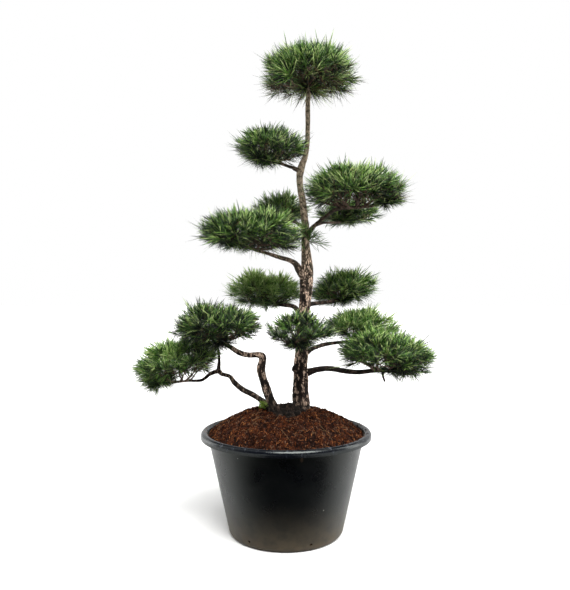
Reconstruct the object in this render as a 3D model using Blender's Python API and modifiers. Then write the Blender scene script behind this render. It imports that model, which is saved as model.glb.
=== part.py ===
"""A pine trained into cloud-shaped pads, growing in a round nursery container.

Metres, +Z up. The origin is the middle of the container's flat underside, and the front of
the tree is seen along +Y. Heights called "above the soil" start at the crown of the soil.
"""

import math
from typing import NamedTuple

import bmesh
import bpy
from mathutils import Matrix, Vector

# ---- container ---------------------------------------------------------------------------
POT_HEIGHT = 0.386  # underside to the top of the rolled rim
RIM_RADIUS = 0.325  # outside of the rolled rim
FOOT_RADIUS = 0.215  # outside of the wall, where its line meets the ground
WALL = 0.0035  # thickness of the moulded wall, floor and rim
HEEL_RADIUS = 0.020  # rounding between the floor and the wall, outside
RIM_WIDTH = 0.028  # across the rolled rim, from its mouth to its outside
RIM_DROP = 0.024  # height of the rolled rim, down to the free edge of its skirt
THROAT_STEP = 0.0045  # how far the wall stands in from the rim's mouth, under the rim
HOLE_COUNT = 6  # drain holes, low in the wall
HOLE_RADIUS = 0.0050
HOLE_HEIGHT = 0.026  # from the ground to the middle of a hole, clear above the rounded heel
HOLE_TURN = 53.6  # degrees from +X to the first hole, seen from above

# ---- soil --------------------------------------------------------------------------------
SOIL_RISE = 0.106  # from the soil's edge, at the foot of the rim, up to its crown
SOIL_SHOULDER = 2.6  # power of the mound's fall: higher is flatter on top
CLEARANCE = 0.0003  # between pieces that touch
PAD_GAP = 0.002  # between pads whose foliage meets

# ---- tree --------------------------------------------------------------------------------
TREE_HEIGHT = 1.400  # soil crown to the top of the crown pad
TREE_SPREAD = 1.140  # tip to tip of the widest pads
TRUNK_FOOT_RADIUS = 0.031  # trunk at soil level
STUMP_HALF = (0.090, 0.080, 0.062)  # half sizes of the root clump that joins the three stems
STUMP_CENTRE = (0.008, -0.022, -0.050)  # its middle, in the way of the routes below

# The routes and pads below are drawn for a tree of this height and spread.
DRAWN_HEIGHT = 1.400
DRAWN_SPREAD = 1.140

# ---- fineness of the solids --------------------------------------------------------------
TURN_STEPS = 40
TRUNK_RESOLUTION = 4  # a bevel resolution of n gives 4 + 2n sides
STEM_RESOLUTION = 2
LIMB_RESOLUTION = 1
STEM_RADIUS = 0.0100  # a branch that starts thicker than this is as finely sided as a stem
PAD_SEGMENTS = 16
PAD_RINGS = 8

# Every route is a list of (x, y, height above the soil, radius), from its root to its tip.
TRUNK = [
    (0.054, -0.004, -0.040, 1.24),
    (0.057, -0.002, 0.000, 1.06),
    (0.056, 0.000, 0.095, 0.95),
    (0.060, 0.003, 0.214, 0.83),
    (0.073, 0.006, 0.395, 0.68),
    (0.079, 0.005, 0.505, 0.85),
    (0.079, 0.002, 0.575, 0.62),
    (0.075, -0.002, 0.640, 0.49),
    (0.073, -0.005, 0.710, 0.44),
    (0.062, -0.004, 0.800, 0.41),
    (0.052, -0.002, 0.876, 0.40),
    (0.057, 0.000, 0.918, 0.45),
    (0.074, 0.003, 0.970, 0.32),
    (0.083, 0.004, 1.037, 0.28),
    (0.084, 0.002, 1.164, 0.30),
    (0.088, 0.000, 1.262, 0.30),
]  # the trunk's radii are shares of TRUNK_FOOT_RADIUS

BRANCHES = {
    "inner_left_stem": [
        (-0.034, -0.020, -0.030, 0.0200),
        (-0.056, -0.021, 0.022, 0.0175),
        (-0.072, -0.025, 0.070, 0.0165),
        (-0.088, -0.030, 0.117, 0.0145),
        (-0.094, -0.032, 0.152, 0.0165),
        (-0.090, -0.034, 0.180, 0.0135),
        (-0.091, -0.036, 0.200, 0.0135),
        (-0.110, -0.038, 0.207, 0.0115),
        (-0.142, -0.042, 0.208, 0.0105),
        (-0.180, -0.046, 0.218, 0.0100),
        (-0.222, -0.050, 0.246, 0.0085),
        (-0.262, -0.054, 0.268, 0.0065),
        (-0.330, -0.060, 0.285, 0.0040),
    ],
    "outer_left_stem": [
        (-0.050, -0.030, 0.000, 0.0150),
        (-0.088, -0.029, 0.031, 0.0110),
        (-0.127, -0.024, 0.055, 0.0100),
        (-0.167, -0.015, 0.073, 0.0100),
        (-0.198, -0.006, 0.098, 0.0098),
        (-0.216, -0.001, 0.120, 0.0080),
        (-0.247, 0.005, 0.129, 0.0082),
        (-0.262, 0.008, 0.140, 0.0092),
        (-0.294, 0.010, 0.128, 0.0062),
        (-0.327, 0.014, 0.104, 0.0055),
        (-0.380, 0.018, 0.101, 0.0048),
        (-0.446, 0.021, 0.094, 0.0040),
        (-0.510, 0.024, 0.090, 0.0030),
    ],
    "outer_left_fork": [
        (-0.262, 0.008, 0.140, 0.0075),
        (-0.259, 0.014, 0.175, 0.0055),
        (-0.262, 0.022, 0.212, 0.0050),
        (-0.275, 0.030, 0.262, 0.0038),
    ],
    "lower_right": [
        (0.064, 0.000, 0.128, 0.0150),
        (0.094, -0.004, 0.141, 0.0125),
        (0.118, -0.010, 0.149, 0.0105),
        (0.152, -0.018, 0.154, 0.0100),
        (0.182, -0.027, 0.152, 0.0100),
        (0.221, -0.036, 0.146, 0.0100),
        (0.275, -0.044, 0.143, 0.0090),
        (0.342, -0.050, 0.150, 0.0080),
        (0.420, -0.052, 0.150, 0.0060),
        (0.496, -0.050, 0.146, 0.0035),
    ],
    "lower_right_upper": [
        (0.066, 0.004, 0.205, 0.0120),
        (0.104, 0.024, 0.226, 0.0085),
        (0.160, 0.056, 0.240, 0.0075),
        (0.236, 0.090, 0.246, 0.0065),
        (0.330, 0.105, 0.258, 0.0040),
    ],
    "lower_front": [
        (0.060, 0.000, 0.214, 0.0110),
        (0.058, -0.044, 0.232, 0.0080),
        (0.056, -0.090, 0.246, 0.0070),
        (0.048, -0.140, 0.256, 0.0050),
        (0.030, -0.180, 0.264, 0.0035),
    ],
    "middle_right": [
        (0.074, 0.004, 0.392, 0.0110),
        (0.104, 0.044, 0.400, 0.0085),
        (0.158, 0.100, 0.404, 0.0075),
        (0.230, 0.170, 0.416, 0.0060),
        (0.310, 0.215, 0.440, 0.0038),
    ],
    "middle_left": [
        (0.068, 0.004, 0.350, 0.0120),
        (0.046, 0.028, 0.372, 0.0100),
        (0.026, 0.072, 0.388, 0.0085),
        (-0.020, 0.130, 0.394, 0.0070),
        (-0.080, 0.185, 0.398, 0.0055),
        (-0.160, 0.210, 0.408, 0.0035),
    ],
    "high_left": [
        (0.076, 0.003, 0.500, 0.0200),
        (0.052, -0.008, 0.528, 0.0150),
        (0.036, -0.018, 0.552, 0.0110),
        (0.012, -0.030, 0.566, 0.0085),
        (-0.020, -0.045, 0.574, 0.0075),
        (-0.066, -0.060, 0.588, 0.0070),
        (-0.114, -0.074, 0.602, 0.0058),
        (-0.180, -0.090, 0.624, 0.0045),
        (-0.240, -0.100, 0.640, 0.0032),
    ],
    "high_left_back": [
        (0.074, -0.003, 0.680, 0.0090),
        (0.052, 0.050, 0.710, 0.0065),
        (0.024, 0.110, 0.732, 0.0055),
        (-0.012, 0.180, 0.748, 0.0045),
        (-0.060, 0.220, 0.764, 0.0030),
    ],
    "high_right": [
        (0.073, -0.005, 0.652, 0.0110),
        (0.098, -0.010, 0.688, 0.0085),
        (0.122, -0.016, 0.710, 0.0072),
        (0.152, -0.024, 0.732, 0.0066),
        (0.186, -0.034, 0.757, 0.0064),
        (0.234, -0.042, 0.762, 0.0060),
        (0.323, -0.052, 0.768, 0.0048),
        (0.394, -0.060, 0.790, 0.0032),
    ],
    "high_right_back": [
        (0.112, -0.013, 0.702, 0.0062),
        (0.148, 0.036, 0.716, 0.0055),
        (0.196, 0.100, 0.724, 0.0050),
        (0.244, 0.170, 0.736, 0.0040),
        (0.300, 0.225, 0.752, 0.0028),
    ],
    "top_left": [
        (0.055, 0.000, 0.912, 0.0080),
        (0.034, -0.004, 0.920, 0.0062),
        (0.010, -0.009, 0.926, 0.0056),
        (-0.024, -0.018, 0.936, 0.0048),
        (-0.064, -0.030, 0.942, 0.0040),
        (-0.118, -0.044, 0.952, 0.0028),
    ],
}


class Pad(NamedTuple):
    """One cloud of foliage, in metres and degrees, in the way of the routes above."""

    carrier: str  # the branch that holds it up
    centre: tuple  # x, y and height above the soil of the middle of its widest level
    half: tuple  # its half sizes across and deep
    rise: float  # from the widest level up to its top
    drop: float  # from the widest level down to its underside
    tilt: float  # right side up
    limbs: tuple  # bearings, inside it, of the limbs that spread from the carrier


PADS = {
    "pad_crown": Pad(
        "trunk", centre=(0.086, 0.000, 1.262), half=(0.184, 0.176), rise=0.124, drop=0.088, tilt=0,
        limbs=(20, 100, 200, 280),
    ),
    "pad_top_left": Pad(
        "top_left", centre=(-0.056, -0.028, 0.978), half=(0.134, 0.116), rise=0.090, drop=0.048, tilt=-2,
        limbs=(60, 175, 280),
    ),
    "pad_high_right": Pad(
        "high_right", centre=(0.256, -0.050, 0.818), half=(0.190, 0.150), rise=0.104, drop=0.048, tilt=3,
        limbs=(50, 130, 235, 320),
    ),
    "pad_high_right_back": Pad(
        "high_right_back", centre=(0.262, 0.205, 0.768), half=(0.128, 0.100), rise=0.070, drop=0.036, tilt=2,
        limbs=(40, 200),
    ),
    "pad_high_left": Pad(
        "high_left", centre=(-0.136, -0.080, 0.650), half=(0.190, 0.150), rise=0.098, drop=0.052, tilt=-7,
        limbs=(60, 150, 220, 300),
    ),
    "pad_high_left_back": Pad(
        "high_left_back", centre=(-0.022, 0.205, 0.776), half=(0.112, 0.098), rise=0.078, drop=0.040, tilt=0,
        limbs=(60, 220),
    ),
    "pad_middle_right": Pad(
        "middle_right", centre=(0.240, 0.196, 0.450), half=(0.136, 0.118), rise=0.088, drop=0.044, tilt=8,
        limbs=(20, 120, 280),
    ),
    "pad_middle_left": Pad(
        "middle_left", centre=(-0.088, 0.200, 0.436), half=(0.156, 0.118), rise=0.086, drop=0.044, tilt=-2,
        limbs=(60, 170, 290),
    ),
    "pad_lower_left_upper": Pad(
        "inner_left_stem", centre=(-0.256, -0.052, 0.304), half=(0.168, 0.140), rise=0.100, drop=0.058, tilt=2,
        limbs=(55, 150, 215, 310),
    ),
    "pad_lower_left": Pad(
        "outer_left_stem", centre=(-0.418, 0.024, 0.154), half=(0.168, 0.132), rise=0.100, drop=0.050, tilt=14,
        limbs=(60, 160, 220, 310),
    ),
    "pad_lower_front": Pad(
        "lower_front", centre=(0.054, -0.160, 0.292), half=(0.122, 0.092), rise=0.074, drop=0.042, tilt=0,
        limbs=(10, 170),
    ),
    "pad_lower_right_upper": Pad(
        "lower_right_upper", centre=(0.306, 0.100, 0.294), half=(0.146, 0.118), rise=0.088, drop=0.044, tilt=-3,
        limbs=(50, 150, 300),
    ),
    "pad_lower_right": Pad(
        "lower_right", centre=(0.374, -0.050, 0.196), half=(0.186, 0.142), rise=0.102, drop=0.050, tilt=-4,
        limbs=(50, 130, 230, 320),
    ),
}
PAD_LUMPS = 0.07  # how far the pads' outlines swell and draw in, as a share of their size
PAD_LOBES = 3  # swellings round each pad
LOBE_SHIFT = 40.0  # radians by which the lobes turn for each metre between two pads
LIMB_REACH = 0.62  # how far a limb reaches into its pad, as a share of the pad's half size
LIMB_RADIUS = 0.0042
LIMB_TIP_RADIUS = 0.0026
LIMB_SAG = 0.10  # how far a limb hangs below a straight line, as a share of its length
LIMB_SPOTS = (0.15, 0.65)  # where limbs may leave each stretch of a branch, as shares of it
LIMB_SHARE = 0.8  # a limb is at most this share of its branch's radius where it leaves it
LIMB_TAPER = 0.6  # and its tip at most this share of its root

# Short shoots that sprout straight from the trunk: the height they sprout at, the way from
# the trunk's middle there to theirs, and their half sizes.
SPRIGS = {
    "sprig_front": (0.640, (-0.015, -0.028, 0.008), (0.024, 0.022, 0.034)),
    "sprig_right": (0.640, (0.028, 0.000, 0.000), (0.028, 0.018, 0.022)),
}
MOSS_CENTRE = (-0.084, -0.034, 0.018)
MOSS_HALF = (0.017, 0.013, 0.016)

SOIL_BASE = POT_HEIGHT - RIM_DROP  # the soil's edge meets the wall at the foot of the rim
SOIL_CROWN = SOIL_BASE + SOIL_RISE


# ---- helpers -----------------------------------------------------------------------------
def collection(name):
    """A new collection in the scene."""
    made = bpy.data.collections.new(name)
    bpy.context.scene.collection.children.link(made)
    return made


def placed(x, y, height):
    """A point of the drawn tree, at this tree's spread and height, standing on the soil."""
    wide = TREE_SPREAD / DRAWN_SPREAD
    tall = TREE_HEIGHT / DRAWN_HEIGHT
    return Vector((x * wide, y * wide, SOIL_CROWN + height * tall))


def add_mesh(name, mesh, where):
    """An object for a mesh, in one of the two collections."""
    body = bpy.data.objects.new(name, mesh)
    where.objects.link(body)
    return body


def as_cutter(body):
    """Marks a body as a cutter: drawn as wire, and no piece of the object."""
    body.hide_render = True
    body.display_type = "WIRE"
    return body


def evaluated_mesh(body):
    """The mesh that an object's curve or modifiers give."""
    graph = bpy.context.evaluated_depsgraph_get()
    return bpy.data.meshes.new_from_object(body.evaluated_get(graph))


def combine(body, tool, operation):
    """One exact Boolean, whose result becomes the body's own mesh."""
    step = body.modifiers.new(operation.lower(), "BOOLEAN")
    step.operation = operation
    step.solver = "EXACT"
    step.object = tool
    result = evaluated_mesh(body)
    body.modifiers.remove(step)
    body.data = result


def paint(body, colour, roughness):
    """Gives a piece its own material, and rounds its shading."""
    material = bpy.data.materials.new(body.name)
    material.use_nodes = True
    shader = material.node_tree.nodes["Principled BSDF"]
    shader.inputs["Base Color"].default_value = (*colour, 1.0)
    shader.inputs["Roughness"].default_value = roughness
    body.data.materials.clear()
    body.data.materials.append(material)
    body.data.shade_smooth()
    body.data.set_sharp_from_angle(angle=math.radians(40))


def turned(name, profile, where):
    """A profile of (radius, height) points turned about the Z axis, top to bottom."""
    mesh = bpy.data.meshes.new(name)
    points = [(radius, 0.0, height) for radius, height in profile]
    mesh.from_pydata(points, [(i, i + 1) for i in range(len(points) - 1)], [])
    body = add_mesh(name, mesh, where)
    screw = body.modifiers.new("turn", "SCREW")
    screw.steps = TURN_STEPS
    screw.render_steps = TURN_STEPS
    screw.use_merge_vertices = True
    screw.merge_threshold = 0.0001
    return body


def smooth_route(route, per_span):
    """Points and radii of a Catmull-Rom curve through a route, per_span to each stretch."""
    rows = [(*placed(x, y, height), radius) for x, y, height, radius in route]
    rows = [Vector(row) for row in rows]
    ends = [2 * rows[0] - rows[1], *rows, 2 * rows[-1] - rows[-2]]
    curve = []
    for a, b, c, d in zip(ends, ends[1:], ends[2:], ends[3:]):
        for step in range(per_span):
            t = step / per_span
            curve.append(
                0.5 * (2 * b + t * (c - a) + t * t * (2 * a - 5 * b + 4 * c - d)
                       + t**3 * (3 * b - a - 3 * c + d))
            )
    curve.append(rows[-1])
    return [(Vector(row[:3]), row[3]) for row in curve]


def tube(name, line, resolution, grow, where):
    """A closed tube along points and radii, its radius and both ends larger by grow."""
    points = [point.copy() for point, radius in line]
    points[0] += grow * (points[0] - points[1]).normalized()
    points[-1] += grow * (points[-1] - points[-2]).normalized()
    curve = bpy.data.curves.new(name, "CURVE")
    curve.dimensions = "3D"
    curve.bevel_depth = 1.0
    curve.bevel_resolution = resolution
    curve.use_fill_caps = True
    spline = curve.splines.new("POLY")
    spline.points.add(len(points) - 1)
    for vertex, point, (_, radius) in zip(spline.points, points, line):
        vertex.co = (*point, 1.0)
        vertex.radius = radius + grow
    drawn = add_mesh(name, curve, where)
    mesh = evaluated_mesh(drawn)
    bpy.data.objects.remove(drawn)
    shape = bmesh.new()
    shape.from_mesh(mesh)
    bmesh.ops.remove_doubles(shape, verts=shape.verts, dist=0.00001)
    bmesh.ops.recalc_face_normals(shape, faces=shape.faces)
    shape.to_mesh(mesh)
    shape.free()
    return add_mesh(name, mesh, where)


def ball(name, half, grow, where, segments=PAD_SEGMENTS, rings=PAD_RINGS):
    """An ellipsoid at the origin, with its half sizes larger by grow."""
    shape = bmesh.new()
    bmesh.ops.create_uvsphere(shape, u_segments=segments, v_segments=rings, radius=1.0)
    bmesh.ops.scale(shape, vec=[size + grow for size in half], verts=shape.verts)
    mesh = bpy.data.meshes.new(name)
    shape.to_mesh(mesh)
    shape.free()
    return add_mesh(name, mesh, where)


# ---- container and soil ------------------------------------------------------------------
def wall_slope():
    """How far the wall leans out for each metre up, and the height of its shoulder."""
    shoulder = POT_HEIGHT - RIM_DROP
    top_radius = RIM_RADIUS - RIM_WIDTH + WALL - THROAT_STEP
    return (top_radius - FOOT_RADIUS) / shoulder, shoulder


def wall_line(depth):
    """(radius, height) from the floor's middle up to the shoulder, depth inside the skin."""
    slope, shoulder = wall_slope()
    lean = math.atan(slope)
    arc_radius = FOOT_RADIUS + slope * HEEL_RADIUS - HEEL_RADIUS / math.cos(lean)
    line = [(0.0, depth)]
    steps = 4
    for step in range(steps + 1):
        turn = -math.pi / 2 + (math.pi / 2 - lean) * step / steps
        line.append((
            arc_radius + (HEEL_RADIUS - depth) * math.cos(turn),
            HEEL_RADIUS + (HEEL_RADIUS - depth) * math.sin(turn),
        ))
    line.append((FOOT_RADIUS + slope * shoulder - depth / math.cos(lean), shoulder))
    return line


def make_pot(parts, cutters):
    """The container: one moulded sheet from its floor, up its wall and over its rim."""
    roll = (RIM_WIDTH - WALL) / 2
    middle = RIM_RADIUS - WALL / 2 - roll
    crest = POT_HEIGHT - WALL / 2 - roll
    profile = wall_line(WALL / 2)
    steps = 6
    for step in range(steps + 1):
        turn = math.pi - math.pi * step / steps
        profile.append((middle + roll * math.cos(turn), crest + roll * math.sin(turn)))
    profile.append((RIM_RADIUS - WALL / 2, POT_HEIGHT - RIM_DROP))
    pot = turned("pot", profile[::-1], parts)
    shell = pot.modifiers.new("wall", "SOLIDIFY")
    shell.thickness = WALL
    shell.offset = 0.0
    shell.use_even_offset = True

    holes = bmesh.new()
    slope, _ = wall_slope()
    wall_radius = FOOT_RADIUS + slope * HOLE_HEIGHT
    square_to_wall = math.pi / 2 + math.atan(slope)
    for index in range(HOLE_COUNT):
        bearing = math.radians(HOLE_TURN) + math.tau * index / HOLE_COUNT
        place = (
            Matrix.Rotation(bearing, 4, "Z")
            @ Matrix.Translation((wall_radius, 0.0, HOLE_HEIGHT))
            @ Matrix.Rotation(square_to_wall, 4, "Y")
        )
        bmesh.ops.create_cone(
            holes, cap_ends=True, segments=12, radius1=HOLE_RADIUS, radius2=HOLE_RADIUS,
            depth=6 * WALL, matrix=place,
        )
    mesh = bpy.data.meshes.new("drain_holes")
    holes.to_mesh(mesh)
    holes.free()
    drill = as_cutter(add_mesh("drain_holes", mesh, cutters))
    cut = pot.modifiers.new("drain holes", "BOOLEAN")
    cut.operation = "DIFFERENCE"
    cut.solver = "EXACT"
    cut.object = drill
    return pot


def soil_profile(lift):
    """(radius, height) of the soil from its crown over the mound and down to its floor."""
    side = wall_line(WALL + CLEARANCE)
    edge_radius = side[-1][0]
    steps = 7
    mound = []
    for step in range(steps):
        share = step / steps
        fall = 1.0 - share**SOIL_SHOULDER
        mound.append((edge_radius * share, SOIL_BASE + SOIL_RISE * fall + lift))
    return mound + side[::-1]


# ---- wood --------------------------------------------------------------------------------
def trunk_route():
    """The trunk's route, with its shares of the foot radius turned into metres."""
    return [(x, y, height, share * TRUNK_FOOT_RADIUS) for x, y, height, share in TRUNK]


def trunk_middle(height):
    """The trunk's middle at a height above the soil."""
    for (x0, y0, low, _), (x1, y1, high, _) in zip(TRUNK, TRUNK[1:]):
        if low <= height <= high:
            share = (height - low) / (high - low)
            return placed(x0 + share * (x1 - x0), y0 + share * (y1 - y0), height)
    raise ValueError(f"the trunk does not reach {height} m above the soil")


def pad_frame(pad):
    """The matrix that takes a pad from its own frame to its place on the tree."""
    turn = Matrix.Rotation(-math.radians(pad.tilt), 4, "Y")
    return Matrix.Translation(placed(*pad.centre)) @ turn


def pad_scale():
    """How much larger than drawn the pads are, across and upwards."""
    return TREE_SPREAD / DRAWN_SPREAD, TREE_HEIGHT / DRAWN_HEIGHT


def limb_lines(pad, carrier):
    """Points and radii of the limbs that leave a branch and end inside its pad."""
    across, deep = pad.half
    wide, _ = pad_scale()
    half_way = len(carrier) // 2
    shoots = []
    for one, other in zip(carrier[half_way:-1], carrier[half_way + 1:]):
        for share in LIMB_SPOTS:
            shoots.append((one[0].lerp(other[0], share), one[1] + share * (other[1] - one[1])))
    lines = []
    for bearing in pad.limbs:
        turn = math.radians(bearing)
        reach = LIMB_REACH * wide
        end = pad_frame(pad) @ Vector((reach * across * math.cos(turn),
                                       reach * deep * math.sin(turn), 0.0))
        nearest = min(shoots, key=lambda row: (row[0] - end).length)
        shoots.remove(nearest)
        start, thickness = nearest
        sag = Vector((0.0, 0.0, -LIMB_SAG * (end - start).length))
        middle = start.lerp(end, 0.5) + sag
        root = min(LIMB_RADIUS, LIMB_SHARE * thickness)
        tip = min(LIMB_TIP_RADIUS, LIMB_TAPER * root)
        lines.append([(start, root), (middle, 0.5 * (root + tip)), (end, tip)])
    return lines


def wood_lines():
    """Every tube of the tree as (points and radii, bevel resolution)."""
    trunk = smooth_route(trunk_route(), 2)
    carriers = {"trunk": trunk}
    lines = [(trunk, TRUNK_RESOLUTION)]
    for name, route in BRANCHES.items():
        carriers[name] = smooth_route(route, 1)
        thick = route[0][3] > STEM_RADIUS
        lines.append((carriers[name], STEM_RESOLUTION if thick else LIMB_RESOLUTION))
    for pad in PADS.values():
        lines.extend((line, LIMB_RESOLUTION) for line in limb_lines(pad, carriers[pad.carrier]))
    return lines


def make_wood(name, grow, where):
    """Stump, trunk, stems, branches and limbs, grown together into one solid."""
    wood = ball(name, STUMP_HALF, grow, where, segments=20, rings=10)
    wood.data.transform(Matrix.Translation(placed(*STUMP_CENTRE)))
    for line, resolution in wood_lines():
        piece = tube("limb", line, resolution, grow, where)
        combine(wood, piece, "UNION")
        bpy.data.objects.remove(piece)
    return wood


# ---- foliage -----------------------------------------------------------------------------
def make_pad(name, pad, grow, where):
    """One pad of foliage: a lumpy dome, flatter below than above."""
    across, deep = pad.half
    wide, tall = pad_scale()
    body = ball(name, (1.0, 1.0, 1.0), 0.0, where)
    phase = LOBE_SHIFT * (pad.centre[0] + pad.centre[2])
    for vertex in body.data.vertices:
        x, y, z = vertex.co
        lump = 1.0 + PAD_LUMPS * (1.0 - z * z) * math.sin(PAD_LOBES * math.atan2(y, x) + phase)
        upright = pad.rise if z > 0 else pad.drop
        vertex.co = (
            x * (lump * across * wide + grow),
            y * (lump * deep * wide + grow),
            z * (upright * tall + grow),
        )
    body.data.transform(pad_frame(pad))
    return body


def boxes_meet(one, other):
    """Whether the boxes around two meshes overlap."""
    for axis in range(3):
        first = [vertex.co[axis] for vertex in one.data.vertices]
        second = [vertex.co[axis] for vertex in other.data.vertices]
        if max(first) < min(second) or max(second) < min(first):
            return False
    return True


def clear_of_pads(body, pads, cutters):
    """Cuts room for pads out of a body that may reach into them."""
    for pad in pads:
        room = make_pad("pad_room", pad, PAD_GAP, cutters)
        if boxes_meet(body, room):
            combine(body, room, "DIFFERENCE")
        bpy.data.objects.remove(room)


def make_foliage(parts, cutters, wood_room):
    """All the pads and sprigs, each clear of the wood and of the pads made before it."""
    made = []
    for name, pad in PADS.items():
        body = make_pad(name, pad, 0.0, parts)
        combine(body, wood_room, "DIFFERENCE")
        clear_of_pads(body, made, cutters)
        paint(body, (0.055, 0.150, 0.045), 0.8)
        made.append(pad)
    for name, (height, way, half) in SPRIGS.items():
        sprig = ball(name, half, 0.0, parts, segments=12, rings=6)
        sprig.data.transform(Matrix.Translation(trunk_middle(height) + Vector(way)))
        combine(sprig, wood_room, "DIFFERENCE")
        clear_of_pads(sprig, made, cutters)
        paint(sprig, (0.060, 0.160, 0.050), 0.8)


# ---- the whole object --------------------------------------------------------------------
def main():
    for item in list(bpy.data.objects):
        bpy.data.objects.remove(item)
    parts = collection("potted_cloud_pine")
    cutters = collection("cutters")

    pot = make_pot(parts, cutters)
    paint(pot, (0.012, 0.013, 0.015), 0.45)

    wood = make_wood("trunk_and_branches", 0.0, parts)
    paint(wood, (0.150, 0.105, 0.075), 0.9)
    wood_room = as_cutter(make_wood("wood_room", CLEARANCE, cutters))

    soil = turned("soil", soil_profile(0.0), parts)
    soil.data = evaluated_mesh(soil)
    soil.modifiers.clear()
    combine(soil, wood_room, "DIFFERENCE")
    paint(soil, (0.120, 0.045, 0.025), 0.95)

    make_foliage(parts, cutters, wood_room)

    soil_room = turned("soil_room", soil_profile(CLEARANCE), cutters)
    soil_room.data = evaluated_mesh(soil_room)
    soil_room.modifiers.clear()
    moss = ball("moss_patch", MOSS_HALF, 0.0, parts, segments=12, rings=6)
    moss.data.transform(Matrix.Translation(placed(*MOSS_CENTRE)))
    combine(moss, wood_room, "DIFFERENCE")
    combine(moss, as_cutter(soil_room), "DIFFERENCE")
    paint(moss, (0.160, 0.320, 0.040), 0.95)


main()
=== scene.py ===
# %% [markdown]
# # A cloud-pruned pine in its nursery container
#
# This lesson dresses a plain frame of solids as a living tree: bark that cracks into plates,
# clouds of needles, a mound of coir and a dusty plastic tub. Every new surface is worked out
# with numpy as whole arrays and only then handed to Blender as a mesh.
#
# The first cell loads the frame. The frame's solids give the sizes and places; the pieces
# made here replace them one by one.

# %% Load the frame and keep its box
import math

import bmesh
import bpy
import numpy as np
from mathutils import Matrix, Vector


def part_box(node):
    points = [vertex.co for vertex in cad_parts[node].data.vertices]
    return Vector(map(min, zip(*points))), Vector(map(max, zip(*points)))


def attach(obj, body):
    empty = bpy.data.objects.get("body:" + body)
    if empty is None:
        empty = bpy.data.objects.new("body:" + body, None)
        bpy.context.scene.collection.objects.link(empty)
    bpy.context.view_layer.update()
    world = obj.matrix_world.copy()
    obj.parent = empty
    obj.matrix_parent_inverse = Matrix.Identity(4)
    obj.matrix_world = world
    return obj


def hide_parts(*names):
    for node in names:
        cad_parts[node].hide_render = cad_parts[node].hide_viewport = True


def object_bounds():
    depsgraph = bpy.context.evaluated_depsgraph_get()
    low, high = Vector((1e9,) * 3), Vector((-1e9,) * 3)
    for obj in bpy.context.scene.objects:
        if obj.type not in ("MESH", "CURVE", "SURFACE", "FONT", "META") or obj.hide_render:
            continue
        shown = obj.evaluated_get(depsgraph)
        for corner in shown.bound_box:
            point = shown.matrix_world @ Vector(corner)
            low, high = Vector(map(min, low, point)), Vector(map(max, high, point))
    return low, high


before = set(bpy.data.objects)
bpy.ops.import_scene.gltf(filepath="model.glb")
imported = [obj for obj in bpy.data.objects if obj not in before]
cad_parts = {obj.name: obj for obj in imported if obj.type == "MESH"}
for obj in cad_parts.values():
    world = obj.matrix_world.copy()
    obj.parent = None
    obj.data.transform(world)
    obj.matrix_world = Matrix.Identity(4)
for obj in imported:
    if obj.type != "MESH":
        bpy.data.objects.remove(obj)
cad_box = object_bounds()
print("the frame's box:", [[round(float(c), 3) for c in corner] for corner in cad_box])

# %% [markdown]
# ## Camera
#
# The tree is seen from the front by a level camera at about half its height, 2.3 m away. A
# camera that close shows the soil from a little above and the top pad from below, and a
# level one keeps upright things upright. The lens is set from how wide the view must be.

# %% Camera
CAMERA_DISTANCE = 2.3
CAMERA_HEIGHT = 0.907
CAMERA_SIDE = -0.004
LENS = 36.5  # millimetres, on a sensor 36 mm along the picture's longer side
SHIFT_DOWN = -0.0024  # the horizon lies just above the picture's middle

camera_data = bpy.data.cameras.new("camera")
camera_data.lens = LENS
camera_data.sensor_width = 36.0
camera_data.shift_y = SHIFT_DOWN
camera = bpy.data.objects.new("camera", camera_data)
camera.location = (CAMERA_SIDE, -CAMERA_DISTANCE, CAMERA_HEIGHT)
camera.rotation_euler = (math.pi / 2, 0.0, 0.0)
bpy.context.scene.collection.objects.link(camera)
bpy.context.scene.camera = camera
print("camera", tuple(camera.location), "lens", LENS)

# %% [markdown]
# ## Materials
#
# A material here is a short chain of nodes. The helpers make one Principled shader and the
# few nodes that feed it: noise in Object coordinates, an attribute the mesh brought along,
# a colour ramp, a mix of two colours, and bump. Constant values are set on the shader's own
# sockets. A world has a node tree too, so the same helpers build the room's light.

# %% Material helpers


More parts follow.
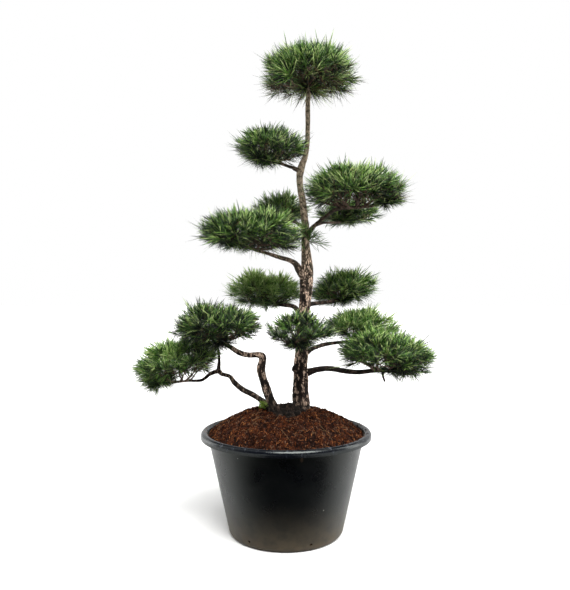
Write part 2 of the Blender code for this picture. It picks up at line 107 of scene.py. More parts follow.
class Nodes:
    """A material or world under construction, with one method for each kind of node it needs."""

    def __init__(self, name, owner=None):
        self.material = owner or bpy.data.materials.new(name)
        self.material.use_nodes = True
        self.tree = self.material.node_tree
        self.shader = self.tree.nodes.get("Principled BSDF")

    def new(self, kind, **settings):
        node = self.tree.nodes.new(kind)
        for key, value in settings.items():
            setattr(node, key, value)
        return node

    def link(self, source, target):
        self.tree.links.new(source, target)

    def set(self, **sockets):
        """Constant values for the shader, such as Roughness=0.5."""
        for key, value in sockets.items():
            self.shader.inputs[key.replace("_", " ")].default_value = value

    def split(self, source, axis):
        """One number, X, Y or Z, of a vector or a UV pair."""
        node = self.new("ShaderNodeSeparateXYZ")
        self.link(source, node.inputs["Vector"])
        return node.outputs[axis]

    def object_place(self):
        """Object coordinates as they are."""
        return self.new("ShaderNodeTexCoord").outputs["Object"]

    def coordinates(self, stretch=(1.0, 1.0, 1.0)):
        """Object coordinates, scaled along each axis."""
        mapping = self.new("ShaderNodeMapping")
        mapping.inputs["Scale"].default_value = stretch
        self.link(self.object_place(), mapping.inputs["Vector"])
        return mapping.outputs["Vector"]

    def noise(self, scale, detail=4.0, roughness=0.55, stretch=(1.0, 1.0, 1.0)):
        node = self.new("ShaderNodeTexNoise")
        node.inputs["Scale"].default_value = scale
        node.inputs["Detail"].default_value = detail
        node.inputs["Roughness"].default_value = roughness
        self.link(self.coordinates(stretch), node.inputs["Vector"])
        return node.outputs["Fac"]

    def value(self, attribute):
        node = self.new("ShaderNodeAttribute", attribute_name=attribute)
        return node.outputs["Fac"]

    def ramp(self, source, stops):
        """A colour ramp; stops are (position, (r, g, b))."""
        node = self.new("ShaderNodeValToRGB")
        elements = node.color_ramp.elements
        while len(elements) < len(stops):
            elements.new(0.5)
        for element, (position, colour) in zip(elements, stops):
            element.position = position
            element.color = (*colour, 1.0)
        self.link(source, node.inputs["Fac"])
        return node.outputs["Color"]

    def mix(self, share, a, b, mode="MIX"):
        """Colour a where share is 0 and b where it is 1; each a socket, colour or number."""
        node = self.new("ShaderNodeMix", data_type="RGBA", blend_type=mode)
        for source, target in ((share, node.inputs[0]), (a, node.inputs[6]), (b, node.inputs[7])):
            if isinstance(source, bpy.types.NodeSocket):
                self.link(source, target)
            elif isinstance(source, tuple):
                target.default_value = (*source, 1.0)
            else:
                target.default_value = source
        return node.outputs[2]

    def maths(self, operation, a, b=0.0, clamp=False):
        node = self.new("ShaderNodeMath", operation=operation, use_clamp=clamp)
        for source, target in ((a, node.inputs[0]), (b, node.inputs[1])):
            if isinstance(source, bpy.types.NodeSocket):
                self.link(source, target)
            else:
                target.default_value = source
        return node.outputs[0]

    def span(self, source, low, high, to_low=0.0, to_high=1.0):
        """Maps low..high to to_low..to_high, clamped."""
        node = self.new("ShaderNodeMapRange")
        ends = {"From Min": low, "From Max": high, "To Min": to_low, "To Max": to_high}
        for key, value in ends.items():
            node.inputs[key].default_value = value
        self.link(source, node.inputs["Value"])
        return node.outputs["Result"]

    def bump(self, height, strength, distance):
        node = self.new("ShaderNodeBump")
        node.inputs["Strength"].default_value = strength
        node.inputs["Distance"].default_value = distance
        self.link(height, node.inputs["Height"])
        self.link(node.outputs["Normal"], self.shader.inputs["Normal"])

    def colour(self, source):
        self.link(source, self.shader.inputs["Base Color"])

    def roughness(self, source):
        self.link(source, self.shader.inputs["Roughness"])


print("helpers ready")

# %% [markdown]
# ## Floor and light
#
# A studio for a potted plant is a pale floor that runs out of sight and large soft lights.
# A broad sun lamp from the upper right stands for a ceiling of light: it gives the clouds
# their bright tops and lights the floor evenly as far as it runs. The room itself is bright
# behind the tree and dim in front, because a dark tub shows its roundness only through what
# it reflects: bright at its flanks, near black in the middle. Two tall panels at the sides
# help those flanks.
#
# A white floor is a lamp of its own: the wall of the tub leans over it and shows it like a
# mirror. In a studio a black card is laid in front of a dark, shiny thing, so that its middle
# stays black between bright flanks. Here the floor does that by itself: it is pale all over
# to the eye, but as a reflector it has a black patch in front of the tub.

# %% Floor and lights
FLOOR_HALF = 40.0
SUN_STRENGTH = 5.5
SUN_ANGLE = 44.0  # degrees; the wider the source, the softer the shadows
SUN_FROM = (0.50, -1.4, 2.5)
FLOOR_SEEN = (0.92, 0.92, 0.91)
FLOOR_BRIGHT = (0.56, 0.56, 0.56)  # beside and behind the tub, as a reflector
FLOOR_DARK = (0.010, 0.010, 0.010)  # in front of it
CARD_FROM, CARD_TO = -0.40, -0.12  # the fade's front and back ends, along y
CARD_HALF = 0.85  # how far the dark reaches to either side, along x
CARD_SOLID = 0.6  # the share of that reach that is fully dark
ROOM_FADE = (-0.62, 0.10)  # the room's own fade, front and back, as y of the way looked
ROOM_LIGHT = (0.04, 0.95)  # its strength at those two ends


def floor_material():
    """Matt floor: pale for the eye; for reflected light, dark in front and bright behind."""
    m = Nodes("pale_floor")
    m.set(Roughness=0.9, Specular_IOR_Level=0.1)
    place = m.object_place()
    fade = m.span(m.split(place, "Y"), CARD_FROM, CARD_TO)
    across = m.maths("ABSOLUTE", m.split(place, "X"))
    aside = m.span(across, CARD_SOLID * CARD_HALF, CARD_HALF)
    reflected = m.mix(m.maths("MAXIMUM", fade, aside), FLOOR_DARK, FLOOR_BRIGHT)
    to_eye = m.new("ShaderNodeLightPath").outputs["Is Camera Ray"]
    m.colour(m.mix(to_eye, reflected, FLOOR_SEEN))
    return m.material


def make_floor():
    """A square of pale floor, far wider than the view."""
    mesh = bpy.data.meshes.new("floor")
    h = FLOOR_HALF
    mesh.from_pydata([(-h, -h, 0), (h, -h, 0), (h, h, 0), (-h, h, 0)], [], [(0, 1, 2, 3)])
    floor = bpy.data.objects.new("floor", mesh)
    floor.data.materials.append(floor_material())
    bpy.context.scene.collection.objects.link(floor)


def soft_light(name, place, towards, size, power):
    """A rectangular panel of white light, (width, height) in metres, turned towards a point."""
    data = bpy.data.lights.new(name, "AREA")
    data.shape = "RECTANGLE"
    data.size, data.size_y = size
    data.energy = power
    light = bpy.data.objects.new(name, data)
    light.location = place
    way = Vector(towards) - Vector(place)
    light.rotation_euler = way.to_track_quat("-Z", "Y").to_euler()
    bpy.context.scene.collection.objects.link(light)


make_floor()
soft_light("left_panel", (-2.6, 1.3, 1.0), (0.0, 0.0, 0.7), (1.2, 3.0), 24.0)
soft_light("right_panel", (2.6, 0.2, 1.2), (0.0, 0.0, 0.9), (1.2, 3.0), 40.0)

sun_data = bpy.data.lights.new("skylight", "SUN")
sun_data.energy = SUN_STRENGTH
sun_data.angle = math.radians(SUN_ANGLE)
sun = bpy.data.objects.new("skylight", sun_data)
sun.rotation_euler = (-Vector(SUN_FROM)).to_track_quat("-Z", "Y").to_euler()
bpy.context.scene.collection.objects.link(sun)


def make_room():
    """A world that is white to the eye and dims from back to front as a source of light."""
    m = Nodes("studio", bpy.data.worlds.new("studio"))
    seen = m.tree.nodes["Background"]
    seen.inputs["Color"].default_value = (1.0, 1.0, 1.0, 1.0)
    lit = m.new("ShaderNodeBackground")
    way = m.new("ShaderNodeTexCoord").outputs["Generated"]
    m.link(m.span(m.split(way, "Y"), *ROOM_FADE, *ROOM_LIGHT), lit.inputs["Strength"])
    mix = m.new("ShaderNodeMixShader")
    m.link(m.new("ShaderNodeLightPath").outputs["Is Camera Ray"], mix.inputs[0])
    m.link(lit.outputs["Background"], mix.inputs[1])
    m.link(seen.outputs["Background"], mix.inputs[2])
    m.link(mix.outputs["Shader"], m.tree.nodes["World Output"].inputs["Surface"])
    bpy.context.scene.world = m.material


make_room()
bpy.context.scene.view_settings.view_transform = "Standard"
print("stage ready")

# %% [markdown]
# ## Putting arrays into meshes
#
# Blender keeps a mesh as flat arrays: corner positions, and for each face the corners it
# uses. `foreach_set` copies a numpy array into such a store in one call, so a mesh of a
# hundred thousand faces costs no more lines than a cube. The helper below takes triangles
# and quads as index arrays, a UV pair for each face corner, and any number of named values
# for each corner point, which materials can read by name.

# %% Mesh helper
rng = np.random.default_rng(20)


def put_mesh(name, points, faces, corner_uv=None, values=None):
    """An object from points (n, 3) and a list of face index arrays (m, 3) or (m, 4)."""
    mesh = bpy.data.meshes.new(name)
    sizes = np.concatenate([np.full(len(f), f.shape[1], np.int32) for f in faces])
    corners = np.concatenate([f.ravel() for f in faces]).astype(np.int32)
    mesh.vertices.add(len(points))
    mesh.vertices.foreach_set("co", np.ascontiguousarray(points, np.float32).ravel())
    mesh.loops.add(len(corners))
    mesh.loops.foreach_set("vertex_index", corners)
    mesh.polygons.add(len(sizes))
    starts = np.concatenate([[0], np.cumsum(sizes)[:-1]]).astype(np.int32)
    mesh.polygons.foreach_set("loop_start", starts)
    if corner_uv is not None:
        layer = mesh.uv_layers.new(name="OFBake")
        layer.data.foreach_set("uv", np.ascontiguousarray(corner_uv, np.float32).ravel())
    for key, row in (values or {}).items():
        made = mesh.attributes.new(key, "FLOAT", "POINT")
        made.data.foreach_set("value", np.ascontiguousarray(row, np.float32).ravel())
    mesh.update(calc_edges=True)
    mesh.validate()
    mesh.shade_smooth()
    piece = bpy.data.objects.new(name, mesh)
    bpy.context.scene.collection.objects.link(piece)
    return piece


def unit(vectors):
    """The same vectors at length one."""
    return vectors / np.maximum(np.linalg.norm(vectors, axis=-1, keepdims=True), 1e-9)


def blend(a, b, share):
    """A mix of a and b: a where share is 0, b where share is 1."""
    return a + (b - a) * share


def smoothstep(low, high, x):
    """0 below low, 1 above high, and an even S between them."""
    t = np.clip((x - low) / (high - low), 0.0, 1.0)
    return t * t * (3.0 - 2.0 * t)


# %% [markdown]
# ## Patterns worked out on the surface
#
# Bark cracks into plates, and plates are cells: scatter one seed point in each square of a
# grid, and every spot belongs to its nearest seed. The gap between the nearest and the
# second-nearest distance is zero on the crack lines, which makes it a ready-made fissure
# depth. Round a trunk the grid has to close on itself, so the column number is taken modulo
# the number of columns. `ripple` is a sum of a few waves with whole numbers of turns, for
# slow swellings that also have to close.

# %% Cell pattern and ripples


def hashed(i, j, salt):
    """A repeatable number from 0 to 1 for each pair of whole numbers (i, j)."""
    n = np.sin(i * 127.1 + j * 311.7 + salt * 74.7) * 43758.5453
    return n - np.floor(n)


def cells(across, along, columns, salt):
    """Nearest-seed cells on a band that closes every `columns` squares across.

    Returns the gap between the two nearest seed distances, and a number from 0 to 1 that is
    the same all over each cell.
    """
    col, row = np.floor(across), np.floor(along)
    near = np.full(across.shape, 9.0)
    second = np.full(across.shape, 9.0)
    label = np.zeros(across.shape)
    for dc in (-1, 0, 1):
        for dr in (-1, 0, 1):
            c, r = col + dc, row + dr
            wrapped = np.mod(c, columns)
            sx = c + 0.12 + 0.76 * hashed(wrapped, r, salt)
            sy = r + 0.12 + 0.76 * hashed(wrapped, r, salt + 5)
            far = np.hypot(across - sx, along - sy)
            closer = far < near
            second = np.where(closer, near, np.minimum(second, far))
            label = np.where(closer, hashed(wrapped, r, salt + 9), label)
            near = np.where(closer, far, near)
    return second - near, label


def ripple(turn, along, salt, waves=6):
    """Slow waves round (turn in radians) and along a stem, between about -1 and 1."""
    total = np.zeros(np.broadcast(turn, along).shape)
    for k in range(waves):
        around = 1 + int(3 * hashed(k, 1.0, salt))
        pitch = 12.0 + 60.0 * hashed(k, 2.0, salt)
        total = total + np.sin(around * turn + pitch * along + 6.28 * hashed(k, 3.0, salt))
    return total / waves**0.5


# %% [markdown]
# ## The container
#
# The tub is one thin moulding: a flat floor, a rounded heel, a wall that leans out, and a
# rim rolled over and down like an inverted U. It could be turned with a Screw modifier, but
# worked out on a grid it can also be slightly out of round, as soft plastic is. The profile
# is followed once along the outside and once back along the inside, so the two skins meet
# at the free edge of the rim and the shell is closed. Drain holes are cut afterwards.

# %% Container sizes and profile
_, pot_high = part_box("pot")
RIM_RADIUS = pot_high[0]
POT_HEIGHT = pot_high[2]
FOOT_RADIUS = 0.215
WALL = 0.0035
HEEL_RADIUS = 0.020
RIM_WIDTH = 0.028
RIM_DROP = 0.024
THROAT_STEP = 0.0045
SHOULDER = POT_HEIGHT - RIM_DROP  # where the wall ends and the rim begins
WALL_SLOPE = (RIM_RADIUS - RIM_WIDTH + WALL - THROAT_STEP - FOOT_RADIUS) / SHOULDER
POT_TURNS = 216
SOIL_CROWN = 0.468  # height of the soil at the trunk


def wall_line(depth, heel_steps=8, wall_steps=40):
    """(radius, height) from the floor's middle up to the shoulder, depth inside the skin."""
    lean = math.atan(WALL_SLOPE)
    arc_radius = FOOT_RADIUS + WALL_SLOPE * HEEL_RADIUS - HEEL_RADIUS / math.cos(lean)
    turn = np.linspace(-math.pi / 2, -lean, heel_steps)
    heel = np.stack([arc_radius + (HEEL_RADIUS - depth) * np.cos(turn),
                     HEEL_RADIUS + (HEEL_RADIUS - depth) * np.sin(turn)], 1)
    floor = np.stack([np.linspace(0.0, heel[0, 0], 8)[:-1], np.full(7, depth)], 1)
    top = np.array([FOOT_RADIUS + WALL_SLOPE * SHOULDER - depth / math.cos(lean), SHOULDER])
    wall = heel[-1] + (top - heel[-1]) * np.linspace(0.0, 1.0, wall_steps)[1:, None]
    return np.concatenate([floor, heel, wall])


def rim_line(side, steps=16):
    """The roll of the rim, side metres off its middle line, over the top and down."""
    roll = (RIM_WIDTH - WALL) / 2
    middle = RIM_RADIUS - WALL / 2 - roll
    crest = POT_HEIGHT - WALL / 2 - roll
    turn = np.linspace(math.pi, 0.0, steps)
    arc = np.stack([middle + (roll + side) * np.cos(turn), crest + (roll + side) * np.sin(turn)], 1)
    skirt = np.stack([np.full(3, middle + roll + side), np.linspace(crest, SHOULDER, 4)[1:]], 1)
    return np.concatenate([arc, skirt])


outside = np.concatenate([wall_line(0.0), rim_line(-WALL / 2)])
inside = np.concatenate([wall_line(WALL), rim_line(WALL / 2)])
print("container profile:", len(outside), "points outside,", len(inside), "inside")


# %% Turn the container
def turned(name, profile, turns, wobble=0.0):
    """A closed profile, starting and ending on the axis, turned about it.

    Point (i, k) of the grid is profile point i at bearing 2 pi k / turns. The radius also
    swells by small waves of two, three and five lobes that grow with height.
    """
    turn = np.linspace(0.0, 2 * math.pi, turns, endpoint=False)
    radius, height = profile[1:-1, 0:1], profile[1:-1, 1:2]
    lobes = np.sin(2 * turn + 0.7) + 0.6 * np.sin(3 * turn + 2.0) + 0.3 * np.sin(5 * turn)
    swell = radius * (1.0 + wobble * lobes * np.clip(height / POT_HEIGHT, 0.0, 1.0))
    grid = np.stack([swell * np.cos(turn), swell * np.sin(turn), height + 0 * turn], -1)
    rows = len(grid)
    points = np.concatenate([grid.reshape(-1, 3), [[0, 0, profile[0, 1]], [0, 0, profile[-1, 1]]]])
    i, k = np.meshgrid(np.arange(rows - 1), np.arange(turns), indexing="ij")
    k2 = (k + 1) % turns
    quads = np.stack([i * turns + k, i * turns + k2, (i + 1) * turns + k2, (i + 1) * turns + k], -1)
    around, following = np.arange(turns), (np.arange(turns) + 1) % turns
    first = np.stack([np.full(turns, len(points) - 2), following, around], 1)
    last_row = (rows - 1) * turns
    last = np.stack([np.full(turns, len(points) - 1), last_row + around, last_row + following], 1)
    return put_mesh(name, points, [quads.reshape(-1, 4), first, last])


pot = turned("pot_shell", np.concatenate([outside, inside[::-1]]), POT_TURNS, wobble=0.0012)


def drill_holes(piece, count=6, radius=0.0050, rise=0.026, first=53.6):
    """Cuts round drain holes through the wall, rise metres up and evenly spaced.

    A hole's axis stands square to the wall, which leans out by the angle whose tangent is
    WALL_SLOPE, the wall's widening over its height.
    """
    cutter = bpy.data.meshes.new("drill")
    shape = bmesh.new()
    for index in range(count):
        bearing = math.radians(first) + math.tau * index / count
        place = (Matrix.Rotation(bearing, 4, "Z")
                 @ Matrix.Translation((FOOT_RADIUS + WALL_SLOPE * rise, 0.0, rise))
                 @ Matrix.Rotation(math.pi / 2 + math.atan(WALL_SLOPE), 4, "Y"))
        bmesh.ops.create_cone(shape, cap_ends=True, segments=24, radius1=radius, radius2=radius,
                              depth=6 * WALL, matrix=place)
    shape.to_mesh(cutter)
    shape.free()
    drill = bpy.data.objects.new("drill", cutter)
    bpy.context.scene.collection.objects.link(drill)
    cut = piece.modifiers.new("holes", "BOOLEAN")
    cut.object = drill
    cut.operation = "DIFFERENCE"
    graph = bpy.context.evaluated_depsgraph_get()
    result = bpy.data.meshes.new_from_object(piece.evaluated_get(graph))
    piece.modifiers.clear()
    piece.data = result
    bpy.data.objects.remove(drill)


drill_holes(pot)
print("container faces:", len(pot.data.polygons))

# %% [markdown]
# ## Container plastic
#
# Black polyethylene is never quite black. Its skin is satin, so the panels at the sides turn
# into wide soft bands; it is rubbed and hazed by handling, and its rim is smoother and bluer.
# Near the ground it turns brown and brighter towards the foot: partly dust, and partly a painted
# reflection of the pale floor. All of that is noise in Object coordinates, sorted by height,
# feeding colour and roughness; a loop lays one colour layer after another over the black.
# The bump is the fine orange-peel of the moulding, with knocks along the rim. Rubs run round
# the wall, so their noise is stretched flat.

# %% Container material
SPLASHES = [  # a dried splash under the rim and two specks: where, how large, colour
    ((0.053, -0.287, 0.346), 0.0085, (0.090, 0.058, 0.034)),
    ((-0.166, -0.238, 0.338), 0.0030, (0.500, 0.500, 0.480)),
    ((0.130, -0.210, 0.150), 0.0028, (0.300, 0.290, 0.260)),
]


def make_plastic():
    """Satin black plastic: haze, a soil splash, dust and a painted floor reflection near the
    ground.
    """
    m = Nodes("black_tub_plastic")
    place = m.object_place()
    height = m.split(place, "Z")

    haze = m.span(m.noise(7.0, detail=4.0), 0.22, 0.80)
    specks = m.span(m.noise(160.0, detail=2.0), 0.66, 0.74)
    low_band = m.maths("POWER", m.span(height, 0.210, 0.0), 2.2)
    ragged = m.span(m.noise(22.0, detail=6.0), 0.15, 0.55, 0.25, 1.0)
    # Dust and painted reflection: the brown near the ground is partly dust and partly the pale
    # floor's reflection painted in, brighter towards the foot.
    dust_and_floor_reflection = m.maths("MULTIPLY", low_band, ragged)
    rim = m.span(height, SHOULDER - 0.003, SHOULDER + 0.008)
    rubs = m.span(m.noise(30.0, detail=5.0, stretch=(1.0, 1.0, 9.0)), 0.56, 0.68)
    scratches = m.span(m.noise(55.0, detail=7.0, roughness=0.7), 0.56, 0.66)
    scuffs = m.maths("MULTIPLY", rim, scratches)
    mottle = m.span(m.noise(60.0, detail=5.0, roughness=0.55), 0.20, 0.80)
    base = (0.0004, 0.0007, 0.0019)
    for share, most, shade in (
            (haze, 0.50, (0.0028, 0.0032, 0.0038)), (mottle, 0.16, (0.0044, 0.0052, 0.0056)),
            (rubs, 0.20, (0.012, 0.013, 0.012)), (dust_and_floor_reflection, 0.92, (0.106, 0.078, 0.046)),
            (specks, 0.22, (0.060, 0.054, 0.045)), (rim, 0.65, (0.0018, 0.0027, 0.0070)),
            (scuffs, 0.60, (0.090, 0.100, 0.120))):
        base = m.mix(m.maths("MULTIPLY", share, most), base, shade)
    for spot, size, shade in SPLASHES:
        away = m.new("ShaderNodeVectorMath", operation="DISTANCE")
        m.link(place, away.inputs[0])
        away.inputs[1].default_value = spot
        frayed = m.span(m.noise(90.0), 0.3, 0.7, -0.4 * size, 0.4 * size)
        ragged_spot = m.maths("ADD", away.outputs["Value"], frayed)
        base = m.mix(m.span(ragged_spot, size, 0.6 * size, 0.0, 0.8), base, shade)
    m.colour(base)

    rough = m.span(m.noise(14.0, detail=4.0, roughness=0.5), 0.25, 0.75, 0.23, 0.37)
    rough = m.maths("ADD", rough, m.maths("MULTIPLY", dust_and_floor_reflection, 0.25))
    rough = m.maths("SUBTRACT", rough, m.maths("MULTIPLY", rim, 0.08))
    m.roughness(rough)
    m.set(Specular_IOR_Level=0.46, Specular_Tint=(0.90, 0.97, 0.90, 1.0), Sheen_Weight=0.08,
          Sheen_Roughness=0.30, Sheen_Tint=(0.80, 0.86, 0.72, 1.0))
    peel = m.noise(420.0, detail=2.0)
    knocks = m.maths("MULTIPLY", rim, m.noise(34.0, detail=6.0))
    m.bump(m.maths("ADD", peel, m.maths("MULTIPLY", knocks, 5.0)), 0.30, 0.0007)
    return m.material


pot.data.materials.clear()
pot.data.materials.append(make_plastic())
pot.data.shade_smooth()
pot.data.set_sharp_from_angle(angle=math.radians(50))
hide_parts("pot")
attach(pot, "root")
print("container dressed")

# %% [markdown]
# ## Routes of the wood
#
# The trunk and every branch is a line of listed points with a radius at each: x, y,
# height above the soil, radius. They are the same lines the frame was drawn along, so the
# bark made here covers the frame's plain tubes exactly. A Catmull-Rom curve runs through
# each line: between two points it is the cubic whose slopes match the neighbours on either
# side, so the wood bends where a tree bends and has no corners.

# %% Trunk and branch routes
TRUNK_FOOT_RADIUS = 0.031
TRUNK_SHARES = [
    (0.054, -0.004, -0.040, 1.24), (0.057, -0.002, 0.000, 1.06), (0.056, 0.000, 0.095, 0.95),
    (0.060, 0.003, 0.214, 0.83), (0.073, 0.006, 0.395, 0.68), (0.079, 0.005, 0.505, 0.85),
    (0.079, 0.002, 0.575, 0.62), (0.075, -0.002, 0.640, 0.49), (0.073, -0.005, 0.710, 0.44),
    (0.062, -0.004, 0.800, 0.41), (0.052, -0.002, 0.876, 0.40), (0.057, 0.000, 0.918, 0.45),
    (0.074, 0.003, 0.970, 0.32), (0.083, 0.004, 1.037, 0.28), (0.084, 0.002, 1.164, 0.30),
    (0.088, 0.000, 1.262, 0.30),
]
ROUTES = {
    "trunk": [(x, y, z, share * TRUNK_FOOT_RADIUS) for x, y, z, share in TRUNK_SHARES],
    "inner_left_stem": [
        (-0.034, -0.020, -0.030, 0.0200), (-0.056, -0.021, 0.022, 0.0175),
        (-0.072, -0.025, 0.070, 0.0165), (-0.088, -0.030, 0.117, 0.0145),
        (-0.094, -0.032, 0.152, 0.0165), (-0.090, -0.034, 0.180, 0.0135),
        (-0.091, -0.036, 0.200, 0.0135), (-0.110, -0.038, 0.207, 0.0115),
        (-0.142, -0.042, 0.208, 0.0105), (-0.180, -0.046, 0.218, 0.0100),
        (-0.222, -0.050, 0.246, 0.0085), (-0.262, -0.054, 0.268, 0.0065),
        (-0.330, -0.060, 0.285, 0.0040),
    ],
    "outer_left_stem": [
        (-0.050, -0.030, 0.000, 0.0150), (-0.088, -0.029, 0.031, 0.0110),
        (-0.127, -0.024, 0.055, 0.0100), (-0.167, -0.015, 0.073, 0.0100),
        (-0.198, -0.006, 0.098, 0.0098), (-0.216, -0.001, 0.120, 0.0080),
        (-0.247, 0.005, 0.129, 0.0082), (-0.262, 0.008, 0.140, 0.0092),
        (-0.294, 0.010, 0.128, 0.0062), (-0.327, 0.014, 0.104, 0.0055),
        (-0.380, 0.018, 0.101, 0.0048), (-0.446, 0.021, 0.094, 0.0040),
        (-0.510, 0.024, 0.090, 0.0030),
    ],
    "outer_left_fork": [
        (-0.262, 0.008, 0.140, 0.0075), (-0.259, 0.014, 0.175, 0.0055),
        (-0.262, 0.022, 0.212, 0.0050), (-0.275, 0.030, 0.262, 0.0038),
    ],
    "lower_right": [
        (0.064, 0.000, 0.128, 0.0150), (0.094, -0.004, 0.141, 0.0125),
        (0.118, -0.010, 0.149, 0.0105), (0.152, -0.018, 0.154, 0.0100),
        (0.182, -0.027, 0.152, 0.0100), (0.221, -0.036, 0.146, 0.0100),
        (0.275, -0.044, 0.143, 0.0090), (0.342, -0.050, 0.150, 0.0080),
        (0.420, -0.052, 0.150, 0.0060), (0.496, -0.050, 0.146, 0.0035),
    ],
    "lower_right_upper": [
        (0.066, 0.004, 0.205, 0.0120), (0.104, 0.024, 0.226, 0.0085),
        (0.160, 0.056, 0.240, 0.0075), (0.236, 0.090, 0.246, 0.0065),
        (0.330, 0.105, 0.258, 0.0040),
    ],
    "lower_front": [
        (0.060, 0.000, 0.214, 0.0110), (0.058, -0.044, 0.232, 0.0080),
        (0.056, -0.090, 0.246, 0.0070), (0.048, -0.140, 0.256, 0.0050),
        (0.030, -0.180, 0.264, 0.0035),
    ],
    "middle_right": [
        (0.074, 0.004, 0.392, 0.0110), (0.104, 0.044, 0.400, 0.0085),
        (0.158, 0.100, 0.404, 0.0075), (0.230, 0.170, 0.416, 0.0060),
        (0.310, 0.215, 0.440, 0.0038),
    ],
    "middle_left": [
        (0.068, 0.004, 0.350, 0.0120), (0.046, 0.028, 0.372, 0.0100),
        (0.026, 0.072, 0.388, 0.0085), (-0.020, 0.130, 0.394, 0.0070),
        (-0.080, 0.185, 0.398, 0.0055), (-0.160, 0.210, 0.408, 0.0035),
    ],
    "high_left": [
        (0.076, 0.003, 0.500, 0.0200), (0.052, -0.008, 0.528, 0.0150),
        (0.036, -0.018, 0.552, 0.0110), (0.012, -0.030, 0.566, 0.0085),
        (-0.020, -0.045, 0.574, 0.0075), (-0.066, -0.060, 0.588, 0.0070),
        (-0.114, -0.074, 0.602, 0.0058), (-0.180, -0.090, 0.624, 0.0045),
        (-0.240, -0.100, 0.640, 0.0032),
    ],
    "high_left_back": [
        (0.074, -0.003, 0.680, 0.0090), (0.052, 0.050, 0.710, 0.0065),
        (0.024, 0.110, 0.732, 0.0055), (-0.012, 0.180, 0.748, 0.0045),
        (-0.060, 0.220, 0.764, 0.0030),
    ],
    "high_right": [
        (0.073, -0.005, 0.652, 0.0110), (0.098, -0.010, 0.688, 0.0085),
        (0.122, -0.016, 0.710, 0.0072), (0.152, -0.024, 0.732, 0.0066),
        (0.186, -0.034, 0.757, 0.0064), (0.234, -0.042, 0.762, 0.0060),
        (0.323, -0.052, 0.768, 0.0048), (0.394, -0.060, 0.790, 0.0032),
    ],
    "high_right_back": [
        (0.112, -0.013, 0.702, 0.0062), (0.148, 0.036, 0.716, 0.0055),
        (0.196, 0.100, 0.724, 0.0050), (0.244, 0.170, 0.736, 0.0040),
        (0.300, 0.225, 0.752, 0.0028),
    ],
    "top_left": [
        (0.055, 0.000, 0.912, 0.0080), (0.034, -0.004, 0.920, 0.0062),
        (0.010, -0.009, 0.926, 0.0056), (-0.024, -0.018, 0.936, 0.0048),
        (-0.064, -0.030, 0.942, 0.0040), (-0.118, -0.044, 0.952, 0.0028),
    ],
}


def curve_through(route, count):
    """count points (x, y, z, radius), evenly spaced in the route's parameter.

    Catmull-Rom: with neighbours a, b, c, d and t from 0 to 1 between b and c, the point is
    half of 2b + t(c - a) + t^2(2a - 5b + 4c - d) + t^3(3b - a - 3c + d).
    """
    rows = np.array(route, float)
    rows[:, 2] += SOIL_CROWN
    ends = np.concatenate([[2 * rows[0] - rows[1]], rows, [2 * rows[-1] - rows[-2]]])
    at = np.linspace(0.0, len(rows) - 1.0, count)
    span = np.minimum(at.astype(int), len(rows) - 2)
    t = (at - span)[:, None]
    a, b, c, d = (ends[span + k] for k in range(4))
    return 0.5 * (2 * b + t * (c - a) + t**2 * (2 * a - 5 * b + 4 * c - d)
                  + t**3 * (3 * b - a - 3 * c + d))


def even_curve(route, step):
    """The curve through a route with points step metres apart along it."""
    fine = curve_through(route, 60 * len(route))
    gone = np.concatenate([[0.0], np.cumsum(np.linalg.norm(np.diff(fine[:, :3], axis=0), axis=1))])
    count = max(int(gone[-1] / step), 4)
    want = np.linspace(0.0, gone[-1], count)
    return np.stack([np.interp(want, gone, fine[:, k]) for k in range(4)], 1), want


print("routes:", len(ROUTES))

# %% [markdown]
# ## Bark
#
# Bark is a tube whose skin is pushed in and out. The tube is a grid: one direction runs
# round the stem, the other along it. Each point stands off the centre line by the stem's
# radius, plus slow ripples for the lumps of growth, minus the fissures between plates. Old
# wood at the foot has deep cracks and thick plates; young wood higher up has only flakes,
# so plate width and crack depth follow the local radius. The crack depth and the plate's own
# shade are stored on the mesh for the material.
#
# A ring's two cross directions come from one fixed helper axis for the whole stem: the axis
# that the stem runs along least. That keeps the grid from twisting.

# %% Bark tubes


def cross_frames(line):
    """Tangents and two cross directions for each point of a line (n, 4)."""
    tangent = unit(np.gradient(line[:, :3], axis=0))
    helper = np.eye(3)[np.argmin(np.abs(tangent).max(0))]
    side = unit(np.cross(np.broadcast_to(helper, tangent.shape), tangent))
    return tangent, side, np.cross(tangent, side)


def tube_faces(rings, sides):
    """Quads of a tube's grid and the two fans that close its ends."""
    i, k = np.meshgrid(np.arange(rings - 1), np.arange(sides), indexing="ij")
    k2 = (k + 1) % sides
    quads = np.stack([i * sides + k, i * sides + k2, (i + 1) * sides + k2, (i + 1) * sides + k], -1)
    around, following = np.arange(sides), (np.arange(sides) + 1) % sides
    hub = rings * sides
    start = np.stack([np.full(sides, hub), following, around], 1)
    end = np.stack([np.full(sides, hub + 1), (rings - 1) * sides + around,
                    (rings - 1) * sides + following], 1)
    return quads.reshape(-1, 4), start, end


def tube_uv(rings, sides):
    """A UV pair for each face corner: round the tube in u, along it in v."""
    i, k = np.meshgrid(np.arange(rings - 1), np.arange(sides), indexing="ij")
    u = np.stack([k, k + 1, k + 1, k], -1) / sides
    v = 0.02 + 0.96 * np.stack([i, i, i + 1, i + 1], -1) / (rings - 1)
    body = np.stack([u, v], -1).reshape(-1, 2)
    k = np.arange(sides)
    low = np.stack([np.stack([(k + 0.5) / sides, (k + 1) / sides, k / sides], 1),
                    np.tile([0.0, 0.018, 0.018], (sides, 1))], -1).reshape(-1, 2)
    high = np.stack([np.stack([(k + 0.5) / sides, k / sides, (k + 1) / sides], 1),
                     np.tile([1.0, 0.982, 0.982], (sides, 1))], -1).reshape(-1, 2)
    return np.concatenate([body, low, high])


USUAL_PALE = 0.15


